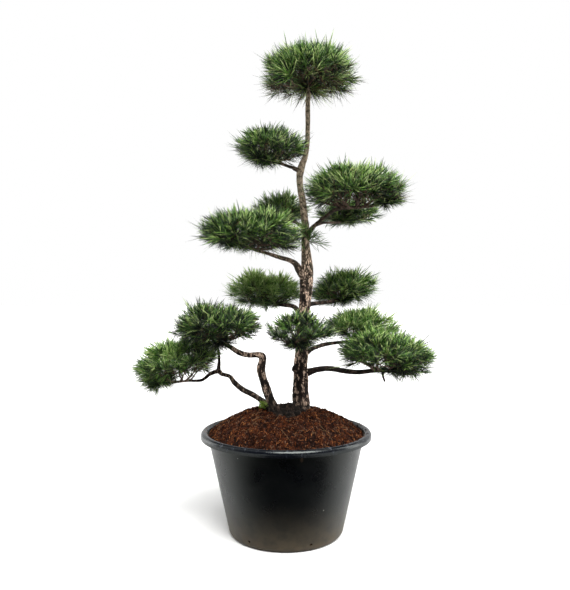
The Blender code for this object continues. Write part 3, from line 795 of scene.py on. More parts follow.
def bark_tube(name, route, sides, step, plate, depth, salt, lumps=0.06, pale=USUAL_PALE):
    """A stem with bark: plate and depth are metres on wood 30 mm in radius.

    pale says how much of the skin has flaked to its light inner layers, from 0 to 1.
    """
    line, along = even_curve(route, step)
    tangent, side, up = cross_frames(line)
    radius = line[:, 3:4]
    turn = np.linspace(0.0, 2 * math.pi, sides, endpoint=False)[None, :]
    age = np.clip(radius / 0.030, 0.12, 1.1)
    columns = max(int(round(2 * math.pi * float(radius.max()) / plate)), 5)
    warp = 0.35 * ripple(turn, along[:, None], salt + 3)
    gap, shade = cells(turn / (2 * math.pi) * columns + warp,
                       along[:, None] / (1.9 * plate) + 0.5 * warp, columns, salt)
    fine, _ = cells(turn / (2 * math.pi) * columns * 3, along[:, None] / (0.6 * plate),
                    columns * 3, salt + 1)
    crack = 1.0 - smoothstep(0.02, 0.30, gap)
    flake = 1.0 - smoothstep(0.0, 0.35, fine)
    lift = 0.5 * shade - crack - 0.28 * flake
    swell = 1.0 + lumps * ripple(turn, along[:, None], salt + 7)
    out = radius * swell + depth * age * lift
    grid = (line[:, None, :3] + out[..., None] * (np.cos(turn)[..., None] * side[:, None]
                                                  + np.sin(turn)[..., None] * up[:, None]))
    rings = len(line)
    points = np.concatenate([grid.reshape(-1, 3), line[:1, :3], line[-1:, :3]])
    ends = np.array([0.5, 0.5])
    values = {"crack": np.concatenate([np.maximum(crack, 0.6 * flake).ravel(), ends]),
              "plate": np.concatenate([shade.ravel(), ends]),
              "pale": np.full(len(points), pale)}
    return put_mesh(name, points, tube_faces(rings, sides), tube_uv(rings, sides), values)


TRUNK_BARK = (112, 0.0018, 0.0125, 0.0028)  # sides, step along, plate size, crack depth
trunk = bark_tube("trunk_bark", ROUTES["trunk"], *TRUNK_BARK, salt=1.0, pale=1.0)
print("trunk faces:", len(trunk.data.polygons))

# %% [markdown]
# The branches are the same kind of tube, each with fewer sides and smaller plates. Where a
# branch leaves its parent the wood swells into a collar, so the first few centimetres of
# each route are made thicker before the bark goes on.

# %% Branches
STEM_RADIUS = 0.0140  # a route with any radius above this counts as a stem
STEM_BARK = (44, 0.0026, 0.0110, 0.0030)
BRANCH_BARK = (26, 0.0036, 0.0085, 0.0042)
STUB_BARK = (36, 0.0022, 0.0100, 0.0034)
PALE = {"inner_left_stem": 0.70, "outer_left_stem": 0.45, "high_left": 0.45, "lower_right": 0.0}


def with_collar(route, swell=0.22, reach=0.022):
    """The route with its radius raised near the start: 1 + swell e^(-distance / reach)."""
    rows = np.array(route, float)
    gone = np.concatenate([[0.0], np.cumsum(np.linalg.norm(np.diff(rows[:, :3], axis=0), axis=1))])
    rows[:, 3] *= 1.0 + swell * np.exp(-gone / reach)
    return [tuple(row) for row in rows]


wood = [trunk]
for number, (name, route) in enumerate(ROUTES.items()):
    if name == "trunk":
        continue
    skin = STEM_BARK if max(row[3] for row in route) > STEM_RADIUS else BRANCH_BARK
    wood.append(bark_tube(f"{name}_bark", with_collar(route), *skin,
                          salt=2.0 + number, lumps=0.09, pale=PALE.get(name, USUAL_PALE)))

STUBS = {
    "dead_stub_low": [(0.362, -0.050, 0.146, 0.0050), (0.364, -0.052, 0.128, 0.0038),
                      (0.371, -0.054, 0.108, 0.0030)],
    "knot_low": [(0.056, -0.004, 0.150, 0.0120), (0.034, -0.016, 0.150, 0.0130),
                 (0.025, -0.020, 0.149, 0.0080)],
    "dead_stub_high": [(0.053, -0.004, 0.905, 0.0058), (0.040, -0.012, 0.909, 0.0045),
                       (0.026, -0.018, 0.914, 0.0035)],
    "knot_middle": [(0.078, -0.002, 0.520, 0.0120), (0.092, -0.014, 0.514, 0.0105),
                    (0.100, -0.018, 0.512, 0.0060)],
}
for number, (name, route) in enumerate(STUBS.items()):
    wood.append(bark_tube(f"{name}_bark", route, *STUB_BARK, salt=30.0 + number, lumps=0.12))
print("wood pieces:", len(wood), "faces:", sum(len(piece.data.polygons) for piece in wood))

# %% [markdown]
# At the soil the three stems rise out of one old root clump, mostly buried. It is a ball
# grid: latitude by longitude on an ellipsoid, with the same cracks as the trunk.

# %% Root clump
STUMP_CENTRE = (0.004, -0.024, SOIL_CROWN - 0.047)
STUMP_HALF = (0.090, 0.080, 0.062)


def ball_grid(name, centre, half, turns, rows, lift):
    """An ellipsoid whose skin is moved by lift(turn, rise), in metres along the radius."""
    turn = np.linspace(0.0, 2 * math.pi, turns, endpoint=False)[None, :]
    rise = np.linspace(-math.pi / 2, math.pi / 2, rows + 2)[1:-1, None]
    way = np.stack([np.cos(rise) * np.cos(turn), np.cos(rise) * np.sin(turn),
                    np.sin(rise) + 0 * turn], -1)
    skin, values = lift(turn, rise)
    grid = way * (np.array(half) + skin[..., None]) + np.array(centre)
    poles = np.array([[0, 0, -half[2]], [0, 0, half[2]]]) + np.array(centre)
    points = np.concatenate([grid.reshape(-1, 3), poles])
    values = {key: np.concatenate([row.ravel(), row[[0, -1], 0]]) for key, row in values.items()}
    return put_mesh(name, points, tube_faces(rows, turns), tube_uv(rows, turns), values)


def clump_skin(turn, rise):
    """Old bark on the clump: lumps, plates and cracks."""
    gap, shade = cells(turn / (2 * math.pi) * 34, rise * 9.0, 34, 51.0)
    crack = 1.0 - smoothstep(0.02, 0.30, gap)
    knobs, _ = cells(turn / (2 * math.pi) * 11, rise * 3.2, 11, 53.0)
    skin = (0.005 * ripple(turn, rise * 0.06, 52.0) + 0.009 * smoothstep(0.0, 0.6, knobs)
            + 0.005 * (0.5 * shade - crack) - 0.004)
    return skin, {"crack": crack, "plate": shade, "pale": 0.0 * skin}


wood.append(ball_grid("root_clump", STUMP_CENTRE, STUMP_HALF, 200, 110, clump_skin))
print("clump faces:", len(wood[-1].data.polygons))

# %% [markdown]
# ## Strands
#
# Limbs, twigs, needles and coir are all strands: many thin tubes of the same make. One
# function builds any number of them at once. The lines are an array (strands, points, xyz),
# so a single cross product gives every ring its directions. Each strand also gets a tint,
# which becomes its place across the UV map, while v runs along it; a material that reads
# only that map can then colour ten thousand strands differently with no image.

# %% Strand builder


def strand_frames(lines):
    """Cross directions for lines (n, p, 3), from the axis that each strand runs along least."""
    tangent = unit(np.gradient(lines, axis=1))
    least = np.argmin(np.abs(lines[:, -1] - lines[:, 0]), axis=1)
    helper = np.eye(3)[least][:, None, :]
    side = unit(np.cross(np.broadcast_to(helper, tangent.shape), tangent))
    return side, np.cross(tangent, side)


def strands(name, lines, radius, tint, sides=3):
    """Tubes along lines (n, p, 3) with radius (n, p) and a tint from 0 to 1 for each."""
    n, p = radius.shape
    side, up = strand_frames(lines)
    turn = np.linspace(0.0, 2 * math.pi, sides, endpoint=False)
    ring = (np.cos(turn)[:, None] * side[:, :, None, :] + np.sin(turn)[:, None] * up[:, :, None, :])
    grid = lines[:, :, None, :] + radius[:, :, None, None] * ring
    points = np.concatenate([grid.reshape(n, -1, 3), lines[:, :1], lines[:, -1:]], 1).reshape(-1, 3)
    quads, start, end = tube_faces(p, sides)
    stride = (np.arange(n) * (p * sides + 2))[:, None, None]
    faces = [(quads[None] + stride).reshape(-1, 4),
             (np.concatenate([start, end])[None] + stride).reshape(-1, 3)]
    v = 0.02 + 0.96 * np.arange(p) / (p - 1)
    i = np.repeat(np.arange(p - 1), sides)
    quad_v = np.stack([v[i], v[i], v[i + 1], v[i + 1]], 1)
    quad_u = np.tile([-1.0, 1.0, 1.0, -1.0], (len(i), 1))
    cap_v = np.concatenate([np.tile([0.0, 0.02, 0.02], (sides, 1)),
                            np.tile([1.0, 0.98, 0.98], (sides, 1))])
    cap_u = np.tile([0.0, 1.0, -1.0], (2 * sides, 1))
    middle = (0.02 + 0.96 * tint)[:, None, None]
    uv = [np.stack(np.broadcast_arrays(middle + 0.012 * u[None], v[None]), -1).reshape(-1, 2)
          for u, v in ((quad_u, quad_v), (cap_u, cap_v))]
    return put_mesh(name, points, faces, np.concatenate(uv))


# %% [markdown]
# ## Soil
#
# The tub holds a mound of coconut coir and fine bark, red-brown and hairy. Its ground is a
# turned solid like the tub itself: floor, side and mound in one closed profile, with the
# mound's points raised and sunk by clumps of three sizes. On top lie thousands of short
# fibres, each a bowed strand half sunk in the ground, then crumbs of bark, some of them
# spilt onto the rim, and a few fallen needles.

# %% Soil ground
SOIL_BASE = SHOULDER + 0.0095
SOIL_RISE = SOIL_CROWN - SOIL_BASE
SOIL_SHOULDER = 2.6
SOIL_GAP = 0.0008
CLOD_SIZES = ((0.034, 0.0060, 61.0), (0.014, 0.0048, 62.0), (0.0065, 0.0026, 63.0))  # pitch, height
side_line = wall_line(WALL + SOIL_GAP, 8, 12)
side_line = np.concatenate([side_line, [[side_line[-1, 0] + 0.0042, SOIL_BASE]]])
SOIL_EDGE = side_line[-1, 0]


def mound_height(x, y):
    """The mound's smooth height: flat-topped, with a shallow dip where the roots have settled.

    The mound falls with a power of the share of the way out to its edge. The dip is a bell:
    its depth times e to the minus squared distance over its squared width.
    """
    out = np.clip(np.hypot(x, y) / SOIL_EDGE, 0.0, 1.0)
    dip = 0.016 * np.exp(-((x - 0.005) ** 2 + (y + 0.075) ** 2) / 0.060**2)
    return SOIL_BASE + SOIL_RISE * (1.0 - out**SOIL_SHOULDER) - dip


def clods(x, y):
    """Clumps of three sizes, in metres, about zero."""
    total = np.zeros(np.broadcast(x, y).shape)
    for pitch, size, salt in CLOD_SIZES:
        gap, label = cells(x / pitch + 400.0, y / pitch + 400.0, 100000, salt)
        total = total + size * (smoothstep(0.0, 0.55, gap) * (0.4 + 0.6 * label) - 0.35)
    return total


def make_ground():
    """Floor, side and clodded mound as one closed turned surface."""
    turns = 300
    turn = np.linspace(0.0, 2 * math.pi, turns, endpoint=False)[None, :]
    share = np.linspace(1.0, 0.0, 150)[1:-1]
    top_radius = SOIL_EDGE * share**0.85
    radius = np.concatenate([side_line[1:, 0], top_radius])[:, None] + 0 * turn
    x, y = radius * np.cos(turn), radius * np.sin(turn)
    on_top = np.concatenate([np.zeros(len(side_line) - 1), np.ones(len(top_radius))])[:, None]
    height = np.concatenate([side_line[1:, 1], 0 * top_radius])[:, None]
    height = height + on_top * mound_height(x, y)
    fade = on_top * smoothstep(0.0, 0.016, SOIL_EDGE - radius)
    lumps = clods(x, y)
    height = height + fade * lumps
    points = np.stack([x, y, height], -1)
    rows = len(points)
    poles = [[0.0, 0.0, side_line[0, 1]], [0.0, 0.0, points[-1, :, 2].mean()]]
    points = np.concatenate([points.reshape(-1, 3), poles])
    # Painted shade: a value from 0 to 1 that darkens the soil's colour in the gaps between clods.
    painted_hollow_shade = np.concatenate([smoothstep(0.0024, -0.0028, lumps).ravel(), [0.0, 0.0]])
    return put_mesh("soil_ground", points, tube_faces(rows, turns), tube_uv(rows, turns),
                    {"painted_hollow_shade": painted_hollow_shade})


ground = make_ground()
print("ground faces:", len(ground.data.polygons), "edge radius", round(float(SOIL_EDGE), 4))

# %% Fibres, crumbs and fallen needles


def on_mound(count, margin):
    """Random spots (x, y) spread evenly over the mound, margin metres inside its edge."""
    radius = (SOIL_EDGE - margin) * np.sqrt(rng.random(count))
    turn = 2 * math.pi * rng.random(count)
    return radius * np.cos(turn), radius * np.sin(turn)


def lying_lines(count, length, points, lift, bow, margin):
    """Bowed lines that follow the mound: heading, sideways bow and a hop along the middle."""
    x, y = on_mound(count, margin)
    heading = 2 * math.pi * rng.random(count)[:, None]
    reach = rng.uniform(*length, count)[:, None]
    t = np.linspace(-0.5, 0.5, points)[None, :]
    sideways = bow * rng.uniform(-1.0, 1.0, (count, 1)) * reach * (1.0 - 4.0 * t**2)
    px = x[:, None] + reach * t * np.cos(heading) - sideways * np.sin(heading)
    py = y[:, None] + reach * t * np.sin(heading) + sideways * np.cos(heading)
    far = np.hypot(px, py)
    inside = np.minimum(1.0, (SOIL_EDGE - 0.002) / far)
    px, py = px * inside, py * inside
    base = mound_height(px, py) + smoothstep(0.0, 0.016, SOIL_EDGE - far * inside) * clods(px, py)
    hop = rng.uniform(*lift, count)[:, None] * (1.0 - 4.0 * t**2) - 0.0006
    return np.stack([px, py, base + hop], -1)


FIBRES = 6000
fibre_lines = lying_lines(FIBRES, (0.006, 0.016), 4, (0.0006, 0.0040), 0.35, 0.005)
fibre_radius = rng.uniform(0.00045, 0.00110, (FIBRES, 1)) * np.ones((1, 4))
fibres = strands("coir_fibres", fibre_lines, fibre_radius, rng.random(FIBRES))

CRUMBS = 2400
crumb_lines = lying_lines(CRUMBS, (0.003, 0.010), 3, (0.0005, 0.0030), 0.1, 0.010)
crumb_radius = rng.uniform(0.0010, 0.0026, (CRUMBS, 1)) * np.array([[0.55, 1.0, 0.6]])
crumbs = strands("bark_crumbs", crumb_lines, crumb_radius, rng.random(CRUMBS) ** 1.6, sides=5)

RIM_CRUMBS = 90  # spilt on the inner half of the rim's roll, whose section is half a circle
roll = RIM_WIDTH / 2
off = roll * rng.uniform(-0.95, 0.10, RIM_CRUMBS)
bearing = math.tau * rng.random(RIM_CRUMBS)
spilt = np.stack([(RIM_RADIUS - roll + off) * np.cos(bearing),
                  (RIM_RADIUS - roll + off) * np.sin(bearing),
                  POT_HEIGHT - roll + np.sqrt(roll**2 - off**2)], 1)
heading = rng.normal(0.0, 0.0016, (RIM_CRUMBS, 3)) * [1.0, 1.0, 0.3]
spilt_lines = spilt[:, None] + heading[:, None] * np.array([-1.0, 0.0, 1.0])[None, :, None]
spilt_radius = rng.uniform(0.0009, 0.0026, (RIM_CRUMBS, 1)) * np.array([[0.55, 1.0, 0.6]])
spills = strands("rim_crumbs", spilt_lines, spilt_radius, rng.random(RIM_CRUMBS) ** 1.6, sides=5)

FALLEN = 60
fallen_lines = lying_lines(FALLEN, (0.040, 0.070), 6, (0.0020, 0.0050), 0.06, 0.040)
fallen_radius = 0.00055 * np.ones((FALLEN, 1)) * np.array([[1.0, 1.0, 1.0, 1.0, 0.9, 0.4]])
fallen = strands("fallen_needles", fallen_lines, fallen_radius, 0.4 + 0.6 * rng.random(FALLEN))
print("fibres", FIBRES, "crumbs", CRUMBS + RIM_CRUMBS, "fallen needles", FALLEN)

# %% [markdown]
# Moist coir is dark red-brown, with paler hairs on top. A picture of soil would repeat; here
# noise gives the blotches and the grain, and the mesh's own hollow value paints shade into the
# gaps between clods, nearly black. Every strand takes one colour from a ramp by its tint,
# so one short material serves fibres, crumbs and fallen needles, each with its own ramp.

# %% Soil materials


def make_soil():
    """Moist red-brown coir with paler grain, and painted shade that darkens the hollows between
    clods.
    """
    m = Nodes("coir_ground")
    blotch = m.span(m.noise(26.0, detail=8.0), 0.32, 0.68)
    grain = m.noise(240.0, detail=6.0, roughness=0.7)
    base = m.ramp(blotch, [(0.0, (0.009, 0.0022, 0.0008)), (0.5, (0.032, 0.0074, 0.0025)),
                           (1.0, (0.076, 0.0200, 0.0062))])
    base = m.mix(m.span(grain, 0.54, 0.66), base, (0.175, 0.058, 0.019))
    # Painted shade: the soil turns nearly black in the hollows between clods.
    base = m.mix(m.maths("MULTIPLY", m.value("painted_hollow_shade"), 0.95), base, (0.0018, 0.0007, 0.0004))
    m.colour(m.mix(m.span(grain, 0.47, 0.36), base, (0.004, 0.0014, 0.0008)))
    m.roughness(m.span(grain, 0.3, 0.7, 0.95, 0.80))
    m.set(Specular_IOR_Level=0.10)
    m.bump(grain, 1.0, 0.0040)
    return m.material


def make_strand_material(name, stops, tip=None, root=None, roughness=0.6, specular=0.4):
    """Colour from the strand's tint along a ramp, with root and tip colours along its length."""
    m = Nodes(name)
    place = m.new("ShaderNodeUVMap", uv_map="OFBake").outputs["UV"]
    tint, along = m.split(place, "X"), m.split(place, "Y")
    colour = m.ramp(tint, stops)
    if root is not None:
        share, shade = root
        colour = m.mix(m.span(along, share, 0.0), colour, shade)
    if tip is not None:
        share, shade = tip
        colour = m.mix(m.span(along, share, 1.0, 0.0, 0.8), colour, shade)
    m.colour(colour)
    m.roughness(m.span(tint, 0.0, 1.0, roughness + 0.1, roughness - 0.05))
    m.set(Specular_IOR_Level=specular)
    return m.material


ground.data.materials.append(make_soil())
fibres.data.materials.append(make_strand_material("coir_strand", [
    (0.0, (0.0012, 0.0004, 0.0002)), (0.45, (0.010, 0.0026, 0.0010)),
    (0.80, (0.120, 0.033, 0.0100)), (1.0, (0.440, 0.170, 0.058))], roughness=0.8, specular=0.05))
crumb_bark = make_strand_material("bark_crumb", [
    (0.0, (0.012, 0.0055, 0.0040)), (0.5, (0.048, 0.018, 0.0100)), (1.0, (0.170, 0.090, 0.050))],
    roughness=0.85, specular=0.2)
crumbs.data.materials.append(crumb_bark)
spills.data.materials.append(crumb_bark)
fallen.data.materials.append(make_strand_material("dead_needle", [
    (0.0, (0.080, 0.034, 0.014)), (1.0, (0.300, 0.165, 0.070))], roughness=0.6, specular=0.3))
for piece in (ground, fibres, crumbs, spills, fallen):
    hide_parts("soil")
    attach(piece, "root")
print("soil dressed")

# %% [markdown]
# ## Clouds
#
# The grower has clipped the tree into clouds. Each is a low dome of foliage on a flat
# skeleton of limbs. The table gives each cloud its branch, its middle, its half width and
# half depth, how far it rises above the middle and drops below it, and its tilt.

# %% Cloud table
PADS = {
    "pad_crown": ("trunk", (0.086, 0.000, 1.262), (0.184, 0.176), 0.124, 0.088, 0),
    "pad_top_left": ("top_left", (-0.056, -0.028, 0.978), (0.134, 0.116), 0.090, 0.048, -2),
    "pad_high_right": ("high_right", (0.256, -0.050, 0.818), (0.190, 0.150), 0.104, 0.048, 3),
    "pad_high_right_back": ("high_right_back",
        (0.262, 0.205, 0.768), (0.128, 0.100), 0.070, 0.036, 2),
    "pad_high_left": ("high_left", (-0.136, -0.080, 0.650), (0.190, 0.150), 0.098, 0.052, -7),
    "pad_high_left_back": ("high_left_back",
        (-0.022, 0.205, 0.776), (0.112, 0.098), 0.078, 0.040, 0),
    "pad_middle_right": ("middle_right", (0.240, 0.196, 0.450), (0.136, 0.118), 0.088, 0.044, 8),
    "pad_middle_left": ("middle_left", (-0.088, 0.200, 0.436), (0.156, 0.118), 0.086, 0.044, -2),
    "pad_lower_left_upper": ("inner_left_stem",
        (-0.256, -0.052, 0.304), (0.168, 0.140), 0.100, 0.058, 2),
    "pad_lower_left": ("outer_left_stem", (-0.418, 0.024, 0.154), (0.168, 0.132), 0.100, 0.050, 14),
    "pad_lower_front": ("lower_front", (0.054, -0.160, 0.292), (0.122, 0.092), 0.074, 0.042, 0),
    "pad_lower_right_upper": ("lower_right_upper",
        (0.306, 0.100, 0.294), (0.146, 0.118), 0.088, 0.044, -3),
    "pad_lower_right": ("lower_right", (0.374, -0.050, 0.196), (0.186, 0.142), 0.102, 0.050, -4),
}


def to_pad(points, centre, tilt):
    """World points in the pad's own frame: origin at its middle, levelled."""
    moved = points - (np.array(centre) + [0.0, 0.0, SOIL_CROWN])
    a = math.radians(tilt)
    x = moved[..., 0] * math.cos(a) + moved[..., 2] * math.sin(a)
    z = -moved[..., 0] * math.sin(a) + moved[..., 2] * math.cos(a)
    return np.stack([x, moved[..., 1], z], -1)


def from_pad(points, centre, tilt):
    """The way back: tilt about y, then move to the pad's middle."""
    a = math.radians(tilt)
    x = points[..., 0] * math.cos(a) - points[..., 2] * math.sin(a)
    z = points[..., 0] * math.sin(a) + points[..., 2] * math.cos(a)
    return np.stack([x, points[..., 1], z], -1) + (np.array(centre) + [0.0, 0.0, SOIL_CROWN])


print("clouds:", len(PADS))

# %% [markdown]
# ## Skeleton of a cloud
#
# From the outer half of its branch, limbs fan out almost level to the cloud's edge, fork,
# and end in twigs; each twig turns up and carries one tuft of needles. First the tufts are
# placed, because the twigs have to find them. They lie on a dome a needle's length inside
# the cloud's outline, spread by the golden angle like seeds in a sunflower, which fills a
# disc evenly with no rows. The dome is quilted into smaller cushions, so tufts near a
# cushion's edge lean into the dark creases between cushions, where painted shade also
# darkens their tint.

# %% Tuft places
GOLDEN_TURN = math.pi * (3.0 - 5.0**0.5)
TUFT_PITCH = 0.0225  # metres between neighbouring tufts on the dome
CUSHION_PITCH = 0.085
CUSHION_SWELL, CUSHION_STEP = 0.020, 0.040  # metres a cushion bulges, and stands off the next
INSET_SIDE, INSET_TOP = 0.66, 0.62  # how far inside the outline tufts stand, in needle lengths
USUAL_BARE = 0.55  # the share of a cloud's low middle that has no tufts


def sunflower(count):
    """count spots spread evenly over the unit disc."""
    k = np.arange(count) + 0.5
    radius, turn = np.sqrt(k / count), k * GOLDEN_TURN
    return np.stack([radius * np.cos(turn), radius * np.sin(turn)], 1)


def lobed(turn, salt):
    """How far the outline swells at a bearing: waves of two, three, five and nine lobes."""
    return (1.0 + 0.055 * np.sin(2 * turn + salt) + 0.060 * np.sin(3 * turn + 2.3 * salt)
            + 0.050 * np.sin(5 * turn + 4.1 * salt) + 0.030 * np.sin(9 * turn + 1.7 * salt))


def tuft_places(half, rise, drop, reach, salt, bare):
    """Roots and shoot directions of a cloud's tufts, in its own frame, and their depth.

    On the dome, height is rise (1 - r^3)^0.6 for r the distance from the middle as a share
    of the outline, which gives broad shoulders; shoots stand up in the middle and lean
    outwards with r^2, and away from the nearest cushion's middle. Below the dome a sparser
    layer fills the body and the rim, and leaves the middle bare up to the share `bare` of the
    body, where the limbs show. Depth runs from 0 on the top layer, more in the creases between
    cushions and towards the rim, to 1 for the lowest tufts; the needles' tint falls with it as
    painted shade.
    """
    inner = np.array(half) - reach * INSET_SIDE
    top = rise - reach * INSET_TOP
    area = math.pi * inner[0] * inner[1] * 1.2
    disc = sunflower(int(area / TUFT_PITCH**2))
    disc = disc + rng.normal(0.0, 0.045, disc.shape)
    r = np.hypot(disc[:, 0], disc[:, 1])
    disc = disc / np.maximum(r, 1.0)[:, None]
    r = np.minimum(r, 1.0)
    disc = disc * lobed(np.arctan2(disc[:, 1], disc[:, 0]), salt)[:, None]

    seeds = sunflower(max(int(area / CUSHION_PITCH**2), 4))
    seeds = seeds + 0.12 * np.stack([np.sin(7.1 * np.arange(len(seeds)) + salt),
                                     np.cos(5.3 * np.arange(len(seeds)) + salt)], 1)
    away = (disc[:, None] - seeds[None]) * inner
    distance = np.linalg.norm(away, axis=2)
    nearest = distance.argmin(1)
    out = away[np.arange(len(disc)), nearest] / CUSHION_PITCH
    swell = 1.0 - np.clip(2.0 * distance.min(1) / CUSHION_PITCH, 0.0, 1.0) ** 2
    lift = CUSHION_STEP * (hashed(nearest, 3.0, salt) - 0.5)

    z = top * (1.0 - r**3) ** 0.6 - 0.014 + CUSHION_SWELL * swell + lift
    z = z + rng.normal(0.0, 0.006, len(r))
    root = np.stack([disc[:, 0] * inner[0], disc[:, 1] * inner[1], z], 1)
    way = np.stack([1.25 * disc[:, 0] * r**2, 1.25 * disc[:, 1] * r**2, 1.0 - 0.55 * r**3], 1)
    way[:, :2] += 0.95 * out
    upper = unit(way + rng.normal(0.0, 0.20, way.shape))
    kept = rng.random(len(root)) > 0.30 * (1.0 - swell)
    root, upper, swell, r = root[kept], upper[kept], swell[kept], r[kept]

    low_count = int(0.66 * len(disc))
    low = sunflower(low_count) + rng.normal(0.0, 0.06, (low_count, 2))
    lr = np.hypot(low[:, 0], low[:, 1])
    low = low / np.maximum(lr, 1.0)[:, None]
    lr = np.minimum(lr, 1.0)
    low = low * lobed(np.arctan2(low[:, 1], low[:, 0]), salt)[:, None]
    share = rng.random(low_count)
    kept = (lr > 0.50) | (share > bare)
    low, lr, share = low[kept], lr[kept], share[kept]
    low_z = blend(-0.55 * drop, 0.60 * top * (1.0 - lr**3) ** 0.5, share)
    low_root = np.stack([low[:, 0] * inner[0], low[:, 1] * inner[1], low_z], 1)
    low_way = np.stack([low[:, 0] * 1.25, low[:, 1] * 1.25, 0.15 + 0.40 * share - 0.10 * lr], 1)
    low_way = unit(low_way + rng.normal(0.0, 0.30, low_way.shape))
    # Painted shade: depth darkens the tint, more in the creases between cushions, towards the rim
    # and on the low layer.
    depth = np.concatenate([0.30 * (1.0 - swell) + 0.08 * r, 0.52 + 0.48 * (1.0 - share)])
    return np.concatenate([root, low_root]), np.concatenate([upper, low_way]), depth


print("one cloud's tufts:", len(tuft_places((0.19, 0.15), 0.1, 0.05, 0.07, 1.0, USUAL_BARE)[0]))

# %% [markdown]
# The limbs come next. Each leaves the branch at the spot nearest to a quarter of its own way
# out from the cloud's middle, sags a little on its way to the edge and carries three forks,
# left and right in turn. A parabola with a small shake is enough for such short wood. Every
# tuft then takes a twig from the nearest limb, sooner one below or beside it than one above,
# so no tuft hangs in the air. Extra tufts stand on the limbs' ends and on the branch itself.

# %% Limbs and twigs


def smooth_lines(start, middle, end, points, wander):
    """Parabolas through start, middle and end (n, 3), shaken sideways by up to wander."""
    t = np.linspace(0.0, 1.0, points)[None, :, None]
    line = (1 - t) ** 2 * start[:, None] + 2 * t * (1 - t) * middle[:, None] + t**2 * end[:, None]
    phase = 6.28 * rng.random((len(start), 1, 3))
    pace = rng.uniform(5.0, 11.0, (len(start), 1, 3))
    return line + wander * np.sin(pace * t + phase) * 4.0 * t * (1.0 - t)


CARRIER_POINTS = 120  # points along the branch that carries a cloud
OUTER_PART, TRUNK_TOP = 72, 112  # from which of them on extra tufts may stand
LIMB_POINTS = 14
BIG_CLOUD = 0.16  # half width above which a cloud has nine limbs and not seven
LIMB_RADIUS = 0.0046  # at most, at a limb's root
EXTRA_TUFTS = 30


def pad_skeleton(carrier, half, drop, place):
    """Limbs of a cloud as lines (n, points, 3) and radii (n, points).

    They leave the part of the branch that runs inside the cloud, or its last third where
    hardly any of it does.
    """
    line = curve_through(ROUTES[carrier], CARRIER_POINTS)
    inside = to_pad(line[:, :3], *place)
    within = np.hypot(inside[:, 0] / half[0], inside[:, 1] / half[1]) < 0.75
    within &= np.abs(inside[:, 2]) < 0.12
    usable = np.flatnonzero(within)
    if len(usable) < 12:
        usable = np.arange(80, CARRIER_POINTS - 2)
    count = 9 if half[0] > BIG_CLOUD else 7
    turn = math.tau * (np.arange(count) + rng.uniform(-0.25, 0.25, count)) / count
    reach = rng.uniform(0.62, 0.86, count)
    end = np.stack([reach * half[0] * np.cos(turn), reach * half[1] * np.sin(turn),
                    rng.uniform(-0.25, 0.15, count) * drop], 1)
    pull = end[:, None] * 0.25 - inside[usable][None]
    pick = usable[np.linalg.norm(pull, axis=2).argmin(1)]
    start = inside[pick]
    thick = np.minimum(LIMB_RADIUS, 0.75 * line[pick, 3])
    middle = blend(start, end, 0.5) + np.stack([0 * reach, 0 * reach, -0.10 * reach * half[0]], 1)
    limbs = smooth_lines(start, middle, end, LIMB_POINTS, 0.004)
    radius = thick[:, None] * np.linspace(1.0, 0.45, LIMB_POINTS)[None, :]

    which = np.repeat(np.arange(count), 3)
    at = np.tile([4, 7, 10], count)
    root = limbs[which, at]
    side = np.where(np.arange(len(which)) % 2 == 0, 1.0, -1.0)[:, None]
    along = unit(limbs[which, at + 1] - root)
    across = unit(np.cross(along, [0.0, 0.0, 1.0])) * side
    length = rng.uniform(0.28, 0.48, (len(which), 1)) * half[0]
    fork_end = root + (0.75 * along + 0.75 * across) * length
    edge = np.hypot(fork_end[:, 0] / half[0], fork_end[:, 1] / half[1])[:, None]
    fork_end[:, :2] *= np.minimum(1.0, 0.85 / edge)
    fork_end[:, 2] = fork_end[:, 2] * 0.6 + rng.uniform(-0.1, 0.25, len(which)) * drop
    fork_mid = blend(root, fork_end, 0.5) + 0.12 * along * length
    forks = smooth_lines(root, fork_mid, fork_end, LIMB_POINTS, 0.003)
    fork_radius = radius[which, at][:, None] * np.linspace(0.72, 0.40, LIMB_POINTS)[None, :]
    return np.concatenate([limbs, forks]), np.concatenate([radius, fork_radius])


def end_tufts(limbs, carrier, place):
    """Extra tufts at the ends of limbs and along the branch, where the skeleton would show."""
    ends = limbs[:, -1]
    end_way = unit(unit(ends - limbs[:, -4]) + np.array([0.0, 0.0, 0.25])
                   + rng.normal(0.0, 0.22, ends.shape))
    line = to_pad(curve_through(ROUTES[carrier], CARRIER_POINTS)[:, :3], *place)
    outer = line[TRUNK_TOP:] if carrier == "trunk" else line[OUTER_PART:]
    outer = outer[outer[:, 2] > -0.045]
    spots = outer[rng.integers(0, len(outer), EXTRA_TUFTS)]
    way = rng.normal(0.0, 1.0, spots.shape)
    way[:, 2] = 0.35 * way[:, 2] + 0.10
    tip, tip_way = line[-1:], unit(line[-1:] - line[-6:-5])
    return (np.concatenate([ends, spots, tip]), np.concatenate([end_way, unit(way), tip_way]),
            np.concatenate([np.full(len(ends), 0.62), np.full(EXTRA_TUFTS + 1, 0.80)]))


def twig_lines(root, way, limbs):
    """A twig for each tuft, from the nearest spot of a limb; spots above it count as farther."""
    spots = limbs[:, 2:].reshape(-1, 3)
    gap = root[:, None] - spots[None]
    cost = np.linalg.norm(gap * [1.0, 1.0, 0.8], axis=2) + 0.5 * np.maximum(-gap[:, :, 2], 0.0)
    start = spots[cost.argmin(1)]
    length = np.linalg.norm(root - start, axis=1)[:, None]
    middle = root - way * 0.45 * length
    middle[:, 2] -= 0.004
    return smooth_lines(start, middle, root + 0.016 * way, 6, 0.0016)


print("skeleton helpers ready")

# %% [markdown]
# ## Needles
#
# A pine's needles stand in pairs all round each shoot, wide open at its foot and closing
# towards its bud. One needle is a three-sided spike: a ring at the foot, a ring two thirds of
# the way out, a point. It keeps its width up to the second ring, and it is slightly curved,
# because that ring is not on the straight line. That is seven corners and seven faces, so a
# tree can have a hundred thousand. Needles inside a cloud are seen only as dark strokes
# between others, so they are straight and have four faces. All the needles of a layer are one
# array computation.

